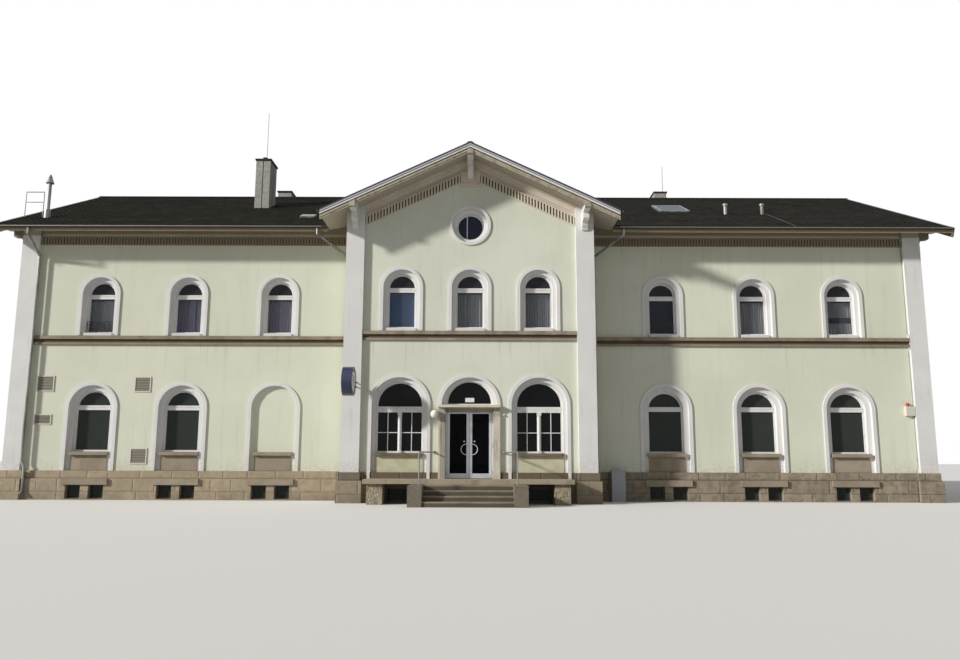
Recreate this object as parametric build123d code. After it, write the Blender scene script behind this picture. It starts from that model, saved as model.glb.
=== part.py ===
# Railway station building: main block with a projecting gabled bay on both long sides, hollow.
# Millimetres. X runs along the front, the front looks to -Y, Z is up, origin on the ground at plan centre.
from build123d import *
import math
import os

os.makedirs("parts", exist_ok=True)

# Plan
HALF_L = 17640              # pilaster face of the gable ends
HALF_D = 7440               # pilaster face of the wings
PROJ = 1480                 # bay in front of the wings
BAY = 4632                  # half width of the bay
PIL = 676                   # pilaster width
REC = 140                   # wall fields lie behind the pilasters
WALL = 460                  # masonry of the fields
FLD = HALF_D - REC          # field face, wings
FLD_E = HALF_L - REC        # field face, gable ends
INN = FLD - WALL
INN_E = FLD_E - WALL
BAY_P = HALF_D + PROJ       # pilaster face, bay
BAY_F = BAY_P - REC         # field face, bay
BAY_I = BAY_F - WALL
BAY_S = BAY - WALL          # inner face of the bay's side walls
END_F = HALF_L - PIL        # where the wing fields end
WING = END_F - BAY
WIN_X = [BAY + round(WING * f) for f in (0.2318, 0.5204, 0.7986)]
END_GAP = round(0.525 * (HALF_D - PIL))
WIN_E = (-END_GAP, 0, END_GAP)
UP_C = round(0.5495 * BAY)  # upper windows of the bay
GC_X = UP_C                 # ground windows of the bay, on the same axes

# Heights
Z_PL = 1080                 # top of the plinth
Z_PC = 790                  # joint under its top course
Z_FL = 860                  # ground floor, landing, terrace
SPLIT = 3500                # spring line of the bay's ground openings, top of the canopy
Z_SC = 6240                 # top of the string course
Z_OC = 10270                # round window of the bay gables
EYE = 500                   # radius of the opening that its frame fills
RIDGE = 14230
PITCH = 0.465               # main roof, rise per run
CROSS = RIDGE - 1150        # ridge of the bay roofs
PITCH_C = 0.470
TILE = 200                  # roof build-up, measured upright
Z_OE = RIDGE - 2580         # round window of the end gables
EAVE = HALF_D + 930
VERGE = HALF_L + 800
C_EAVE = BAY + 828
C_VERGE = BAY_P + 1040
FAR = 2 * HALF_L

# Arched openings: bottom of the pocket, frame sill, arch centre, frame radius, pocket radius, band radius
UP = dict(zb=Z_SC, z0=Z_SC + 105, zc=Z_SC + 1630, r=540, r1=690, ro=800)
GW = dict(zb=Z_PL, z0=Z_PL + 710, zc=Z_PL + 2360, r=690, r1=880, ro=1000)
GC = dict(zb=Z_PL, z0=Z_PL + 690, zc=SPLIT, r=870, r1=1020, ro=1130)
BAND = 45                   # band stands out
STEP1 = 90                  # first step back from the field
SET = 230                   # frame behind the field
DEEP = 300                  # back of the frame and of the pocket
BLIND = (-1, WIN_X[0])      # this ground window is walled up


def box(x0, x1, y0, y1, z0, z1):
    return Pos((x0 + x1) / 2, (y0 + y1) / 2, (z0 + z1) / 2) * Box(abs(x1 - x0), abs(y1 - y0), abs(z1 - z0))


def poly(pts):
    return make_face(Polyline(*pts, close=True))


def along_y(face, ya, yb):
    lo, hi = min(ya, yb), max(ya, yb)
    return extrude(Plane(origin=(0, hi, 0), x_dir=(1, 0, 0), z_dir=(0, -1, 0)) * face, amount=hi - lo)


def along_x(face, xa, xb):
    lo, hi = min(xa, xb), max(xa, xb)
    return extrude(Plane(origin=(lo, 0, 0), x_dir=(0, 1, 0), z_dir=(1, 0, 0)) * face, amount=hi - lo)


def upright(face, z0, z1):
    return extrude(Pos(0, 0, z0) * face, amount=z1 - z0)


def arch(x, z0, zc, r):
    return Pos(x, zc) * Circle(r) + Pos(x, (z0 + zc) / 2) * Rectangle(2 * r, zc - z0)


def half_disc(x, zc, r):
    return Pos(x, zc) * Circle(r) - Pos(x, zc - r) * Rectangle(3 * r, 2 * r)


def tube(pts, r):
    out = None
    for i in range(len(pts) - 1):
        a, b = Vector(*pts[i]), Vector(*pts[i + 1])
        seg = Plane(origin=a, z_dir=b - a) * Cylinder(r, (b - a).length, align=(Align.CENTER, Align.CENTER, Align.MIN))
        out = seg if out is None else out + seg
        if i:
            out = out + Pos(*pts[i]) * Sphere(r)
    return out


def flip(s):
    return mirror(s, about=Plane.YZ)


def pair(s):
    return [s, flip(s)]


def turned(s):
    # the same piece on the rear side
    return Rot(0, 0, 180) * s


def both(*solids):
    return [*solids, *[turned(s) for s in solids]]


def to_end(s, side):
    # a piece drawn for the front field put on a gable end
    return Rot(0, 0, 90 if side > 0 else -90) * (Pos(0, FLD - FLD_E, 0) * s)


def main_top(y):
    return RIDGE - PITCH * abs(y)


def cross_top(x):
    return CROSS - PITCH_C * abs(x)


def valley(x):
    return (RIDGE - CROSS + PITCH_C * abs(x)) / PITCH


def roof_line(top, half, up):
    # profile of a ridge roof shifted by up, closed below or above
    return [(-half, top(half) + up), (0, top(0) + up), (half, top(half) + up)]


room = along_x(poly(roof_line(main_top, BAY_P + C_VERGE, -TILE) + [(BAY_P + C_VERGE, -50), (-BAY_P - C_VERGE, -50)]), -FAR, FAR)
room += along_y(poly(roof_line(cross_top, C_EAVE + BAY / 2, -TILE) + [(C_EAVE + BAY / 2, -50), (-C_EAVE - BAY / 2, -50)]),
                -C_VERGE - PROJ, C_VERGE + PROJ)
sky = along_x(poly(roof_line(main_top, BAY_P + C_VERGE, 0) + [(BAY_P + C_VERGE, FAR), (-BAY_P - C_VERGE, FAR)]), -FAR, FAR)

parts = {}


def add(name, *solids):
    parts[name] = [p for s in solids for p in s.solids()]


# Plinth: fields follow the walls, pedestals stand under the pilasters
def cellar_holes(a, xs, face, make):
    for x in xs:
        for d in (-435, 435):
            a -= make(box(x + d - 285, x + d + 285, -face - 200, -INN + 10, 40, 560))
    return a


def plinth_wing():
    a = box(BAY + 120, END_F - 120, -FLD - 50, -INN, Z_PC, Z_PL) + box(BAY + 120, END_F - 120, -FLD - 120, -INN, 0, Z_PC)
    return cellar_holes(a, WIN_X, FLD, lambda s: s)


def plinth_end():
    a = box(INN_E, FLD_E + 50, -INN, INN, Z_PC, Z_PL) + box(INN_E, FLD_E + 120, -INN, INN, 0, Z_PC)
    for s in (-1, 1):
        for g, z0, z1 in ((50, Z_PC, Z_PL), (120, 0, Z_PC)):
            ya, yb = sorted((s * INN, s * (HALF_D - PIL - g)))
            a += box(INN_E, HALF_L + g, ya, yb, z0, z1)
    for y in WIN_E:
        for d in (-435, 435):
            a -= box(INN_E - 10, HALF_L + 300, y + d - 285, y + d + 285, 40, 560)
    return a


def plinth_corner():
    return box(END_F - 120, HALF_L + 50, -HALF_D - 50, -INN, Z_PC, Z_PL) + box(END_F - 120, HALF_L + 120, -HALF_D - 120, -INN, 0, Z_PC)


def plinth_bay():
    a = box(-BAY - 50, BAY + 50, -BAY_F - 50, -INN, Z_PC, Z_PL)
    a += box(-BAY - 120, BAY + 120, -BAY_F - 120, -INN, 0, Z_PC)
    for s in (-1, 1):
        for g, z0, z1 in ((50, Z_PC, Z_PL), (120, 0, Z_PC)):
            xa, xb = sorted((s * (BAY - PIL - g), s * (BAY + g)))
            a += box(xa, xb, -BAY_P - g, -BAY_F, z0, z1)
            xa, xb = sorted((s * (BAY - 10), s * (BAY + 120)))
            a += box(xa, xb, -FLD - 120, -INN, 0, Z_PL if g == 50 else Z_PC)
        xa, xb = sorted((s * 2130, s * 2950))
        a -= box(xa, xb, -BAY_F - 200, -BAY_I + 10, 60, 540)
    a -= box(-BAY_S, BAY_S, -BAY_I, -INN + 10, -10, Z_PL + 10)
    a -= box(-GC["r"], GC["r"], -BAY_P - 60, -BAY_I + 10, Z_FL, Z_PL + 10)
    a -= box(-GC["r1"], GC["r1"], -BAY_P - 60, -BAY_F + DEEP, Z_FL, Z_PL + 10)
    a -= box(-GC["ro"] + 10, GC["ro"] - 10, -BAY_P - 60, -BAY_F, Z_FL, Z_PL + 10)
    return a


p_bay = plinth_bay()
add("plinth_wings", *both(*pair(plinth_wing())))
add("plinth_ends", *pair(plinth_end()))
add("plinth_corners", *both(*pair(plinth_corner())))
add("plinth_bays", *both(p_bay))


# Walls, cut by arched pockets for the surrounds and by the window openings behind them
def cut_window(a, x, k, face, inner, blind=False):
    a -= along_y(arch(x, k["zb"], k["zc"], k["r1"]), -face - 10, -face + (STEP1 if blind else DEEP))
    if not blind:
        a -= along_y(arch(x, k["z0"], k["zc"], k["r"]), -face, -inner + 10)
    return a


def cut_eye(a, z, face, inner):
    a -= along_y(Pos(0, z) * Circle(690), -face - 10, -face + 380)
    return a - along_y(Pos(0, z) * Circle(EYE), -face, -inner + 10)


def wall_wing(blind):
    a = box(BAY, INN_E, -FLD, -INN, Z_PL, RIDGE) & room
    for x in WIN_X:
        a = cut_window(a, x, UP, FLD, INN)
        a = cut_window(a, x, GW, FLD, INN, blind and x == BLIND[1])
    return a


w_open, w_blind = wall_wing(False), wall_wing(True)
add("walls_wings", w_open, flip(w_blind), *[turned(w) for w in pair(w_open)])


def wall_end(side):
    a = box(-FLD, FLD, -FLD, -INN, Z_PL, RIDGE)
    for x in WIN_E:
        for k in (UP, GW):
            a = cut_window(a, x, k, FLD, INN)
    return to_end(cut_eye(a, Z_OE, FLD, INN), side) & room


add("walls_ends", wall_end(-1), wall_end(1))
add("walls_bay_sides", *both(*pair(box(BAY_S, BAY, -BAY_I, -INN, Z_PL, RIDGE) & room)))

b_wall = box(-BAY, BAY, -BAY_F, -BAY_I, Z_PL, CROSS) & room
for x in (-UP_C, 0, UP_C):
    b_wall = cut_window(b_wall, x, UP, BAY_F, BAY_I)
for x in (-GC_X, 0, GC_X):
    b_wall = cut_window(b_wall, x, GC, BAY_F, BAY_I)
b_wall -= box(-GC["r"], GC["r"], -BAY_F - 10, -BAY_I + 10, Z_PL - 10, SPLIT)
b_wall = cut_eye(b_wall, Z_OC, BAY_F, BAY_I)
add("walls_beside_door", b_wall & box(-BAY, BAY, -BAY_F, -BAY_I, 0, SPLIT))
add("wall_over_door", b_wall & box(-BAY, BAY, -BAY_F, -BAY_I, SPLIT, RIDGE))
add("wall_rear_bay", turned(b_wall))

# Pilasters: at the corners they run round both faces
corner = (box(END_F, HALF_L, -HALF_D, -FLD, Z_PL, RIDGE) + box(FLD_E, HALF_L, -FLD, -HALF_D + PIL, Z_PL, RIDGE)) & room
p_front = box(BAY - PIL, BAY, -BAY_P, -BAY_F, Z_PL, RIDGE) & room
add("pilasters", *both(*pair(corner), *pair(p_front)))


# String courses: weathered slab over a hollow and a fascia
def course(x0, x1, face):
    s = poly([(-face, Z_SC - 360), (-face - 70, Z_SC - 360), (-face - 70, Z_SC - 270), (-face - 35, Z_SC - 255),
              (-face - 35, Z_SC - 170), (-face - 120, Z_SC - 150), (-face - 120, Z_SC - 20), (-face, Z_SC)])
    return along_x(s, x0, x1)


add("string_courses", *both(*pair(course(BAY, END_F, FLD)), course(-BAY + PIL, BAY - PIL, BAY_F)),
    *[to_end(course(-HALF_D + PIL, HALF_D - PIL, FLD), s) for s in (-1, 1)])


# Cornices: dentils between two fillets, level on the wings and raking in the gables
def dentils(half_from, half_to, top, low, face):
    # teeth from half_from to half_to; low(x) is the underside of the lower fillet
    pitch, tooth = 115, 62
    n = int((half_to - half_from) // pitch)
    step = (half_to - half_from) / n
    pts = [(half_from, low(half_from)), (half_to, low(half_to)), (half_to, low(half_to) + 40)]
    for i in range(n - 1, -1, -1):
        x1 = half_from + i * step + (step + tooth) / 2
        x0 = x1 - tooth
        pts += [(x1, low(x1) + 40), (x1, low(x1) + top), (x0, low(x0) + top), (x0, low(x0) + 40)]
    pts.append((half_from, low(half_from) + 40))
    a = along_y(poly(pts), -face - 55, -face)
    return a + along_y(poly([(half_from, low(half_from) + top), (half_to, low(half_to) + top),
                             (half_to, low(half_to) + top + 30), (half_from, low(half_from) + top + 30)]), -face - 65, -face)


def bed(half_from, half_to, soffit, face):
    # three fillets step out under the soffit
    a = None
    for out, low, high in ((50, 260, 175), (100, 175, 90), (160, 90, 0)):
        s = along_y(poly([(half_from, soffit(half_from) - low), (half_to, soffit(half_to) - low),
                          (half_to, soffit(half_to) - high), (half_from, soffit(half_from) - high)]), -face - out, -face)
        a = s if a is None else a + s
    return a


WING_Z = main_top(HALF_D + 20) - TILE       # soffit over the wings' cornice
wing_dentils = dentils(BAY, END_F, 310, lambda x: WING_Z - 720, FLD) + (bed(BAY, END_F, lambda x: WING_Z, FLD) & room)


def raking(top, half, face):
    # the two rakes meet a stepped corbel, which carries the bracket under the apex
    peak = top(0)
    rake = dentils(370, half, 340, lambda x: top(x) - 1000, face)
    rake += box(110, 370, -face - 30, -face, peak - 1160, peak - 700)
    rake += bed(110, half, lambda x: top(x) - TILE, face)
    corbel = box(-370, 370, -face - 95, -face, peak - 1320, peak - 1190) + box(-250, 250, -face - 60, -face, peak - 1190, peak - 1035)
    return corbel + rake + flip(rake)


add("cornices", *both(*pair(wing_dentils), raking(cross_top, BAY - PIL, BAY_F)),
    *[to_end(raking(main_top, HALF_D - PIL, FLD), s) for s in (-1, 1)])


# Window surrounds: raised band, white reveal, ring one step back, lining that holds the frame
def surround(x, k, face, blind=False, sill=False):
    zb, zc, r, r1, ro = k["zb"], k["zc"], k["r"], k["r1"], k["ro"]
    a = along_y(arch(x, zb, zc, ro) - arch(x, zb - 1, zc, r1), -face - BAND, -face)
    a += along_y(arch(x, zb, zc, r1) - arch(x, zb - 1, zc, r1 - 12), -face - BAND, -face + STEP1)
    if not blind:
        a += along_y(arch(x, zb, zc, r1) - arch(x, zb - 1, zc, r), -face + STEP1, -face + DEEP)
    if sill:
        a += box(x - r, x + r, -face - 20, -face + DEEP, zb, k["z0"])
    return a


def surround_bay(x):
    # legs of the bay's ground windows reach the terrace in front of the plinth
    k = GC
    a = surround(x, k, BAY_F)
    for s in (-1, 1):
        xa, xb = sorted((x + s * k["r1"], x + s * k["ro"]))
        a += box(xa, xb, -BAY_F - BAND - 30, -BAY_F, Z_FL, Z_PL) - p_bay
    return a


def door_arch():
    k, face = GC, BAY_F
    a = along_y(half_disc(0, SPLIT, k["ro"]) - Pos(0, SPLIT) * Circle(k["r1"]), -face - BAND, -face)
    a += along_y(half_disc(0, SPLIT, k["r1"]) - Pos(0, SPLIT) * Circle(k["r1"] - 12), -face - BAND, -face + STEP1)
    a += along_y(half_disc(0, SPLIT, k["r1"]) - Pos(0, SPLIT) * Circle(k["r"]), -face + STEP1, -face + DEEP)
    return a


def eye_surround(z, face):
    # turned about its own axis: band, sunk ring with a rounded arris, splay down to the glass
    prof = poly([(690, -BAND), (776, -BAND), (776, 0), (690, 0)])
    prof += poly([(678, -BAND), (690, -BAND), (690, 380), (EYE, 380), (EYE + 24, 150), (EYE + 34, 128), (EYE + 54, 118), (664, 118), (678, 132)])
    ring = revolve(prof, axis=Axis.Y)
    return Pos(0, -face, z) * ring


up, gr = [], []
for sx in (-1, 1):
    for x in WIN_X:
        up += both(surround(sx * x, UP, FLD, sill=True))
        gr += [surround(sx * x, GW, FLD, (sx, x) == BLIND), turned(surround(sx * x, GW, FLD))]
for side in (-1, 1):
    for x in WIN_E:
        up.append(to_end(surround(x, UP, FLD, sill=True), side))
        gr.append(to_end(surround(x, GW, FLD), side))
for x in (-UP_C, 0, UP_C):
    up += both(surround(x, UP, BAY_F, sill=True))
for x in (-GC_X, GC_X):
    gr += both(surround_bay(x))
gr += both(door_arch())
up += both(eye_surround(Z_OC, BAY_F)) + [to_end(eye_surround(Z_OE, FLD), s) for s in (-1, 1)]
add("surrounds_upper", *up)
add("surrounds_ground", *gr)


# Sills with aprons: stone on the wings, rendered on the bays
def sill_wing(x, blind=False):
    k = GW
    back = STEP1 if blind else DEEP
    a = box(x - 740, x + 740, -FLD - 70, -FLD + STEP1, k["z0"] - 130, k["z0"])
    a += box(x - k["r"], x + k["r"], -FLD + 60, -FLD + back, Z_PL, k["z0"])
    return a


def sill_bay(x):
    k = GC
    a = box(x - 880, x + 880, -BAY_F - 70, -BAY_F + STEP1, k["z0"] - 95, k["z0"])
    a += box(x - k["r"], x + k["r"], -BAY_F + 60, -BAY_F + DEEP, Z_PL, k["z0"])
    return a


sl = [sill_wing(x) for x in WIN_X]
add("window_sills", *sl, *[flip(sill_wing(x, x == BLIND[1])) for x in WIN_X], *[turned(s) for x in sl for s in pair(x)],
    *[to_end(sill_wing(x), s) for s in (-1, 1) for x in WIN_E], *both(*pair(sill_bay(GC_X))))

ll = [box(x - 870, x + 870, -FLD - 200, -FLD - 120, 560, Z_PC) for x in WIN_X]
add("cellar_lintels", *both(*ll, *[flip(s) for s in ll]),
    *[to_end(box(x - 870, x + 870, -FLD - 200, -FLD - 120, 560, Z_PC), s) for s in (-1, 1) for x in WIN_E])


# Window frames, each with one sheet of glass behind its bars
def frame(x, k, face, transom, column=False):
    y0, y1, yb = -face + SET, -face + DEEP, -face + SET + 44
    z0, zc, r = k["z0"], k["zc"], k["r"]
    inner = r - 72
    a = along_y(arch(x, z0, zc, r) - arch(x, z0 + 66, zc, inner), y0, y1)
    a += box(x - inner - 5, x + inner + 5, y0 - 10, yb, transom[0], transom[1])
    a += box(x - inner, x + inner, y0 - 26, y0, transom[1] - 64, transom[1] - 46)
    if column:
        # colonnette with base and cap in front of the meeting stiles, glazing bars in both casements
        a += box(x - 72, x + 72, y0 + 4, yb, z0 + 60, transom[0] + 5)
        shaft = Pos(x, y0 + 4, (z0 + transom[0]) / 2) * Cylinder(62, transom[0] - z0)
        a += shaft & box(x - 70, x + 70, y0 - 70, y0 + 20, z0, transom[0])
        a += box(x - 80, x + 80, y0 - 76, y0 + 10, transom[0] - 110, transom[0])
        a += box(x - 75, x + 75, y0 - 70, y0 + 10, z0, z0 + 90)
        zm = (z0 + transom[0]) / 2
        for s in (-1, 1):
            cx = x + s * (72 + inner) / 2
            a += box(cx - 14, cx + 14, y0 + 10, yb, z0 + 60, transom[0] + 5)
            xa, xb = sorted((x + s * 70, x + s * (inner + 5)))
            a += box(xa, xb, y0 + 10, yb, zm - 14, zm + 14)
    y = y0 + 44
    g = along_y(arch(x, z0 + 66, zc, inner), y, y + 12)
    return a, g


def eye_frame(z, face):
    r = EYE - 36
    a = along_y(Pos(0, z) * (Circle(EYE) - Circle(r)), -face + 380, -face + 440)
    a += box(-138, -106, -face + 380, -face + 416, z - r + 6, z + r - 6)
    return a, along_y(Pos(0, z) * Circle(r), -face + 416, -face + 428)


def fan_light():
    y0 = -BAY_F + SET
    a = along_y(half_disc(0, SPLIT, GC["r"]) - half_disc(0, SPLIT + 60, GC["r"] - 80), y0, y0 + 70)
    return a, along_y(half_disc(0, SPLIT + 60, GC["r"] - 80), y0 + 44, y0 + 56)


def cellar_light(x0, x1, z0, z1, face):
    y0 = -face + 60
    a = box(x0, x1, y0, y0 + 50, z0, z1) - box(x0 + 40, x1 - 40, y0 - 1, y0 + 51, z0 + 40, z1 - 40)
    return a, box(x0 + 40, x1 - 40, y0 + 20, y0 + 30, z0 + 40, z1 - 40)


T_UP = (UP["zc"] - 155, UP["zc"] + 18)
T_GW = (GW["zc"] - 70, GW["zc"] + 110)
T_GC = (SPLIT - 260, SPLIT - 50)
front, rear, ends = [], [], []
for sx in (-1, 1):
    for x in WIN_X:
        front.append(frame(sx * x, UP, FLD, T_UP))
        rear.append(frame(sx * x, UP, FLD, T_UP))
        rear.append(frame(sx * x, GW, FLD, T_GW))
        if (sx, x) != BLIND:
            front.append(frame(sx * x, GW, FLD, T_GW))
        for d in (-435, 435):
            lights = cellar_light(sx * x + d - 285, sx * x + d + 285, 40, 560, FLD)
            front.append(lights)
            rear.append(lights)
    xa, xb = sorted((sx * 2130, sx * 2950))
    for rows in (front, rear):
        rows.append(frame(sx * UP_C, UP, BAY_F, T_UP))
        rows.append(frame(sx * GC_X, GC, BAY_F, T_GC, True))
        rows.append(cellar_light(xa, xb, 60, 540, BAY_F))
for rows in (front, rear):
    rows += [frame(0, UP, BAY_F, T_UP), eye_frame(Z_OC, BAY_F), fan_light()]
for x in WIN_E:
    ends += [frame(x, UP, FLD, T_UP), frame(x, GW, FLD, T_GW)]
    ends += [cellar_light(x + d - 285, x + d + 285, 40, 560, FLD) for d in (-435, 435)]
ends.append(eye_frame(Z_OE, FLD))
for name, i in (("window_frames", 0), ("window_glass", 1)):
    add(name, *[w[i] for w in front], *[turned(w[i]) for w in rear], *[to_end(w[i], s) for s in (-1, 1) for w in ends])


# Floors
def floor(z0, z1):
    return box(-INN_E, INN_E, -INN, INN, z0, z1) + box(-BAY_S, BAY_S, -BAY_I, BAY_I, z0, z1)


add("floor_ground", floor(Z_FL - 240, Z_FL))
add("floor_upper", floor(Z_SC - 990, Z_SC - 690))
add("floor_attic", floor(UP["zc"] + 1280, UP["zc"] + 1530))


# Roofs, mitred along the valleys
def bay_plan(y1):
    return poly([(0, -valley(0)), (C_EAVE, -valley(C_EAVE)), (C_EAVE, -y1), (-C_EAVE, -y1), (-C_EAVE, -valley(C_EAVE))])


def slab(top, half, lo, hi):
    return poly(roof_line(top, half, hi) + roof_line(top, half, lo)[::-1])


half_roof = poly([(-EAVE, main_top(EAVE)), (0, RIDGE), (0, RIDGE - TILE), (-EAVE, main_top(EAVE) - TILE)])
m_roof = along_x(half_roof, -VERGE, VERGE) - upright(bay_plan(C_VERGE + 500), 0, FAR)
c_roof = along_y(slab(cross_top, C_EAVE, -TILE, 0), -C_VERGE, -valley(0) / 2) & upright(bay_plan(C_VERGE), 0, FAR)
add("roof_main_front", m_roof)
add("roof_main_rear", turned(m_roof))
add("roof_bays", *both(c_roof))

# Verge brackets: purlin ends on stepped corbels, their heads standing through the verge boards
def bracket(x, wall, out, top):
    s = poly([(-wall, top - 830), (-wall - 60, top - 820), (-wall - 90, top - 740), (-wall - 150, top - 650), (-wall - 190, top - 550),
              (-wall - 480, top - 530), (-wall - 520, top - 470), (-wall - 520, top - 260), (-out + 60, top - 240),
              (-out - 50, top - 220), (-out - 50, top + 60), (-wall, top + 60)])
    return along_x(s, x - 110, x + 110)


br = [*pair(bracket(BAY - PIL / 2, BAY_P, C_VERGE, cross_top(BAY - PIL / 2) - TILE)), bracket(0, BAY_F, C_VERGE, CROSS - TILE)]
br = [s & room for s in br]
E_OUT = FLD + VERGE - FLD_E
be = [*pair(bracket(HALF_D - PIL / 2, HALF_D, E_OUT, main_top(HALF_D - PIL / 2) - TILE)), bracket(0, FLD, E_OUT, RIDGE - TILE)]
be = [to_end(s, 1) & room for s in be]
add("verge_brackets", *both(*br), *be, *[flip(s) for s in be])


# Verge boards in three steps: top board, lower board set back, batten behind it under the soffit
def verge(top, half, place, out):
    a = place(slab(top, half, -190, -60), out, out + 45) + place(slab(top, half, -300, -60), out, out + 25)
    return a + place(slab(top, half, -370, -TILE), out - 60, out)


def across(s, y0, y1):
    return along_y(s, -y1, -y0)


vb, ve = verge(cross_top, C_EAVE, across, C_VERGE), verge(main_top, EAVE, along_x, VERGE)
for s in br:
    vb -= s
for s in be:
    ve -= s
add("verge_boards", *both(vb), *pair(ve))


# Ridge caps
def cap(top):
    return poly([(-170, top(170)), (0, top(0)), (170, top(170)), (170, top(170) + 40), (60, top(60) + 75), (-60, top(60) + 75),
                 (-170, top(170) + 40)])


add("ridge_caps", along_x(cap(main_top), -VERGE, VERGE), *both(along_y(cap(cross_top), -C_VERGE, -valley(200) - 80)))


# Gutters and downpipes
def gutter_profile():
    def u(r, h):
        return Pos(0, -h) * (Circle(r) - Pos(0, r) * Rectangle(3 * r, 2 * r)) + Pos(0, -h / 2) * Rectangle(2 * r, h)
    return u(62, 22) - Pos(0, 8) * u(54, 30)


Z_GUT = main_top(EAVE) - 20
Y_GUT = -EAVE - 62


def gutter(x0, x1):
    return along_x(Pos(Y_GUT, Z_GUT) * gutter_profile(), x0, x1)


def pipe(xo, xc, xf):
    # outlet under the gutter, swan neck back to the wall, offset past the plinth corner, shoe at the foot
    yc = -FLD - 185
    foot = [(xc, yc, 1420), (xf, yc, 1220)] if xf != xc else []
    return tube([(xo, Y_GUT, Z_GUT - 80), (xo, Y_GUT, Z_GUT - 300), (xc, yc, Z_GUT - 950), *foot, (xf, yc, 330), (xf, yc - 110, 200)], 48)


g_left = gutter(-VERGE, -C_EAVE) + pipe(-C_EAVE - 380, -BAY - 190, -BAY - 190) + pipe(-END_F + 70, -END_F + 70, -END_F + 190)
g_right = gutter(C_EAVE, VERGE) + pipe(C_EAVE + 380, BAY + 190, BAY + 190)
g_bay = along_y(Pos(C_EAVE + 62, cross_top(C_EAVE) - 20) * gutter_profile(), -C_VERGE, -EAVE + 40)
add("rainwater_goods", *both(g_left, g_right, *pair(g_bay)))


# Stepped brackets carry the roof's overhang on the bays and the gable ends
# Chimneys
def chimney(x0, x1, y0, y1, rise):
    top = RIDGE + rise
    a = box(x0, x1, y0, y1, 0, top) & sky
    a += box(x0 - 20, x1 + 20, y0 - 20, y1 + 20, top, top + 40) + box(x0 - 45, x1 + 45, y0 - 45, y1 + 45, top + 40, top + 90)
    return a


CH_X = round(0.5317 * HALF_L)
big = chimney(-CH_X - 320, -CH_X + 320, -3720, -2620, 500)
for dy in (-260, 260):
    big += Pos(-CH_X, -3170 + dy, RIDGE + 590 + 75) * (Cylinder(105, 150) - Cylinder(85, 152))
add("chimneys", big, chimney(-CH_X - 450, -CH_X + 210, 680, 1680, 500), chimney(CH_X - 290, CH_X + 310, 580, 1580, 480))


# Roof fittings: flue with cowl, guard frame, vents, lightning rods, roof windows
def on_roof(x, y):
    return (x, y, main_top(y))


fx, fy, fz = on_roof(-HALF_L + 290, -HALF_D + 1020)
flue = (Pos(fx, fy, fz + 600) * Cylinder(75, 1800) + Pos(fx, fy, fz + 1590) * Cone(160, 60, 270) + Pos(fx, fy, fz + 1770) * Cone(80, 15, 130)
        + Pos(fx, fy, fz + 60) * Cylinder(130, 500)) & sky
fittings = [flue]
gx, gy, gz = on_roof(-HALF_L - 160, -HALF_D + 1020)
guard = tube([(gx - 480, gy, gz - 240), (gx - 480, gy, gz + 1080), (gx + 260, gy, gz + 1080), (gx + 260, gy, gz - 40)], 20)
guard += tube([(gx - 480, gy, gz + 650), (gx + 260, gy, gz + 650)], 16)
fittings.append(guard & sky)
for x, y, h, r in ((CH_X + 1420, -5120, 420, 70), (CH_X + 2980, -5120, 420, 70)):
    vx, vy, vz = on_roof(x, y)
    fittings.append((Pos(vx, vy, vz) * Cylinder(r, 2 * h) + Pos(vx, vy, vz + h) * Cylinder(r + 35, 90)) & sky)
fittings.append(Pos(-CH_X, -3170, RIDGE + 590) * Cylinder(14, 2400, align=(Align.CENTER, Align.CENTER, Align.MIN)))
fittings.append(Pos(CH_X + 250, 1080, RIDGE + 570) * Cylinder(14, 1500, align=(Align.CENTER, Align.CENTER, Align.MIN)))


def roof_window(x0, x1, y0, y1):
    n = 1 / math.hypot(1, PITCH)
    s = poly([(y0, main_top(y0)), (y1, main_top(y1)), (y1 - PITCH * 90 * n, main_top(y1) + 90 * n),
              (y0 - PITCH * 90 * n, main_top(y0) + 90 * n)])
    return along_x(s, x0, x1)


add("roof_fittings", *fittings, roof_window(-CH_X + 2380, -CH_X + 2960, -6480, -5940), roof_window(CH_X - 1240, CH_X + 60, -4620, -2920))

# Steps, cheek blocks, terrace
RISERS, TREAD = 5, 300
LAND = BAY_P + 1000
STEP_W, CHEEK = 1530, 470
st = box(-STEP_W, STEP_W, -LAND, -BAY_F, 0, Z_FL)
for i in range(RISERS - 1):
    st += box(-STEP_W, STEP_W, -LAND - TREAD * (RISERS - 1 - i), -LAND, 0, Z_FL / RISERS * (i + 1))
add("steps", *both(st - p_bay))
Y_CH = LAND + TREAD * (RISERS - 1) + 50
tb = []
for x0, x1, y0, y1, z1 in ((STEP_W, STEP_W + CHEEK, -Y_CH, -LAND, Z_FL - 160),
                           (STEP_W, STEP_W + 540, -LAND + 130, -BAY_F - 120, Z_FL - 150),
                           (STEP_W + 1455, STEP_W + 2010, -LAND + 130, -BAY_F - 120, Z_FL - 150)):
    tb += pair(box(x0, x1, y0, y1, 0, z1) - p_bay)
add("terrace_blocks", *both(*tb))
add("terrace_slabs", *both(*pair(box(STEP_W, STEP_W + 2140, -LAND, -BAY_F, Z_FL - 150, Z_FL) - p_bay)))
hx, hz = STEP_W + 120, Z_FL + 940
hr = tube([(hx, -LAND - 900, Z_FL - 160), (hx, -LAND - 900, hz), (hx - 400, -BAY_F - 60, hz)], 22)
hr += Pos(hx - 400, -BAY_F - 60, hz) * Sphere(48) + box(hx - 440, hx - 360, -BAY_F - 60, -BAY_F, hz - 40, hz + 40)
add("handrails", *both(*pair(hr)))

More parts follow.
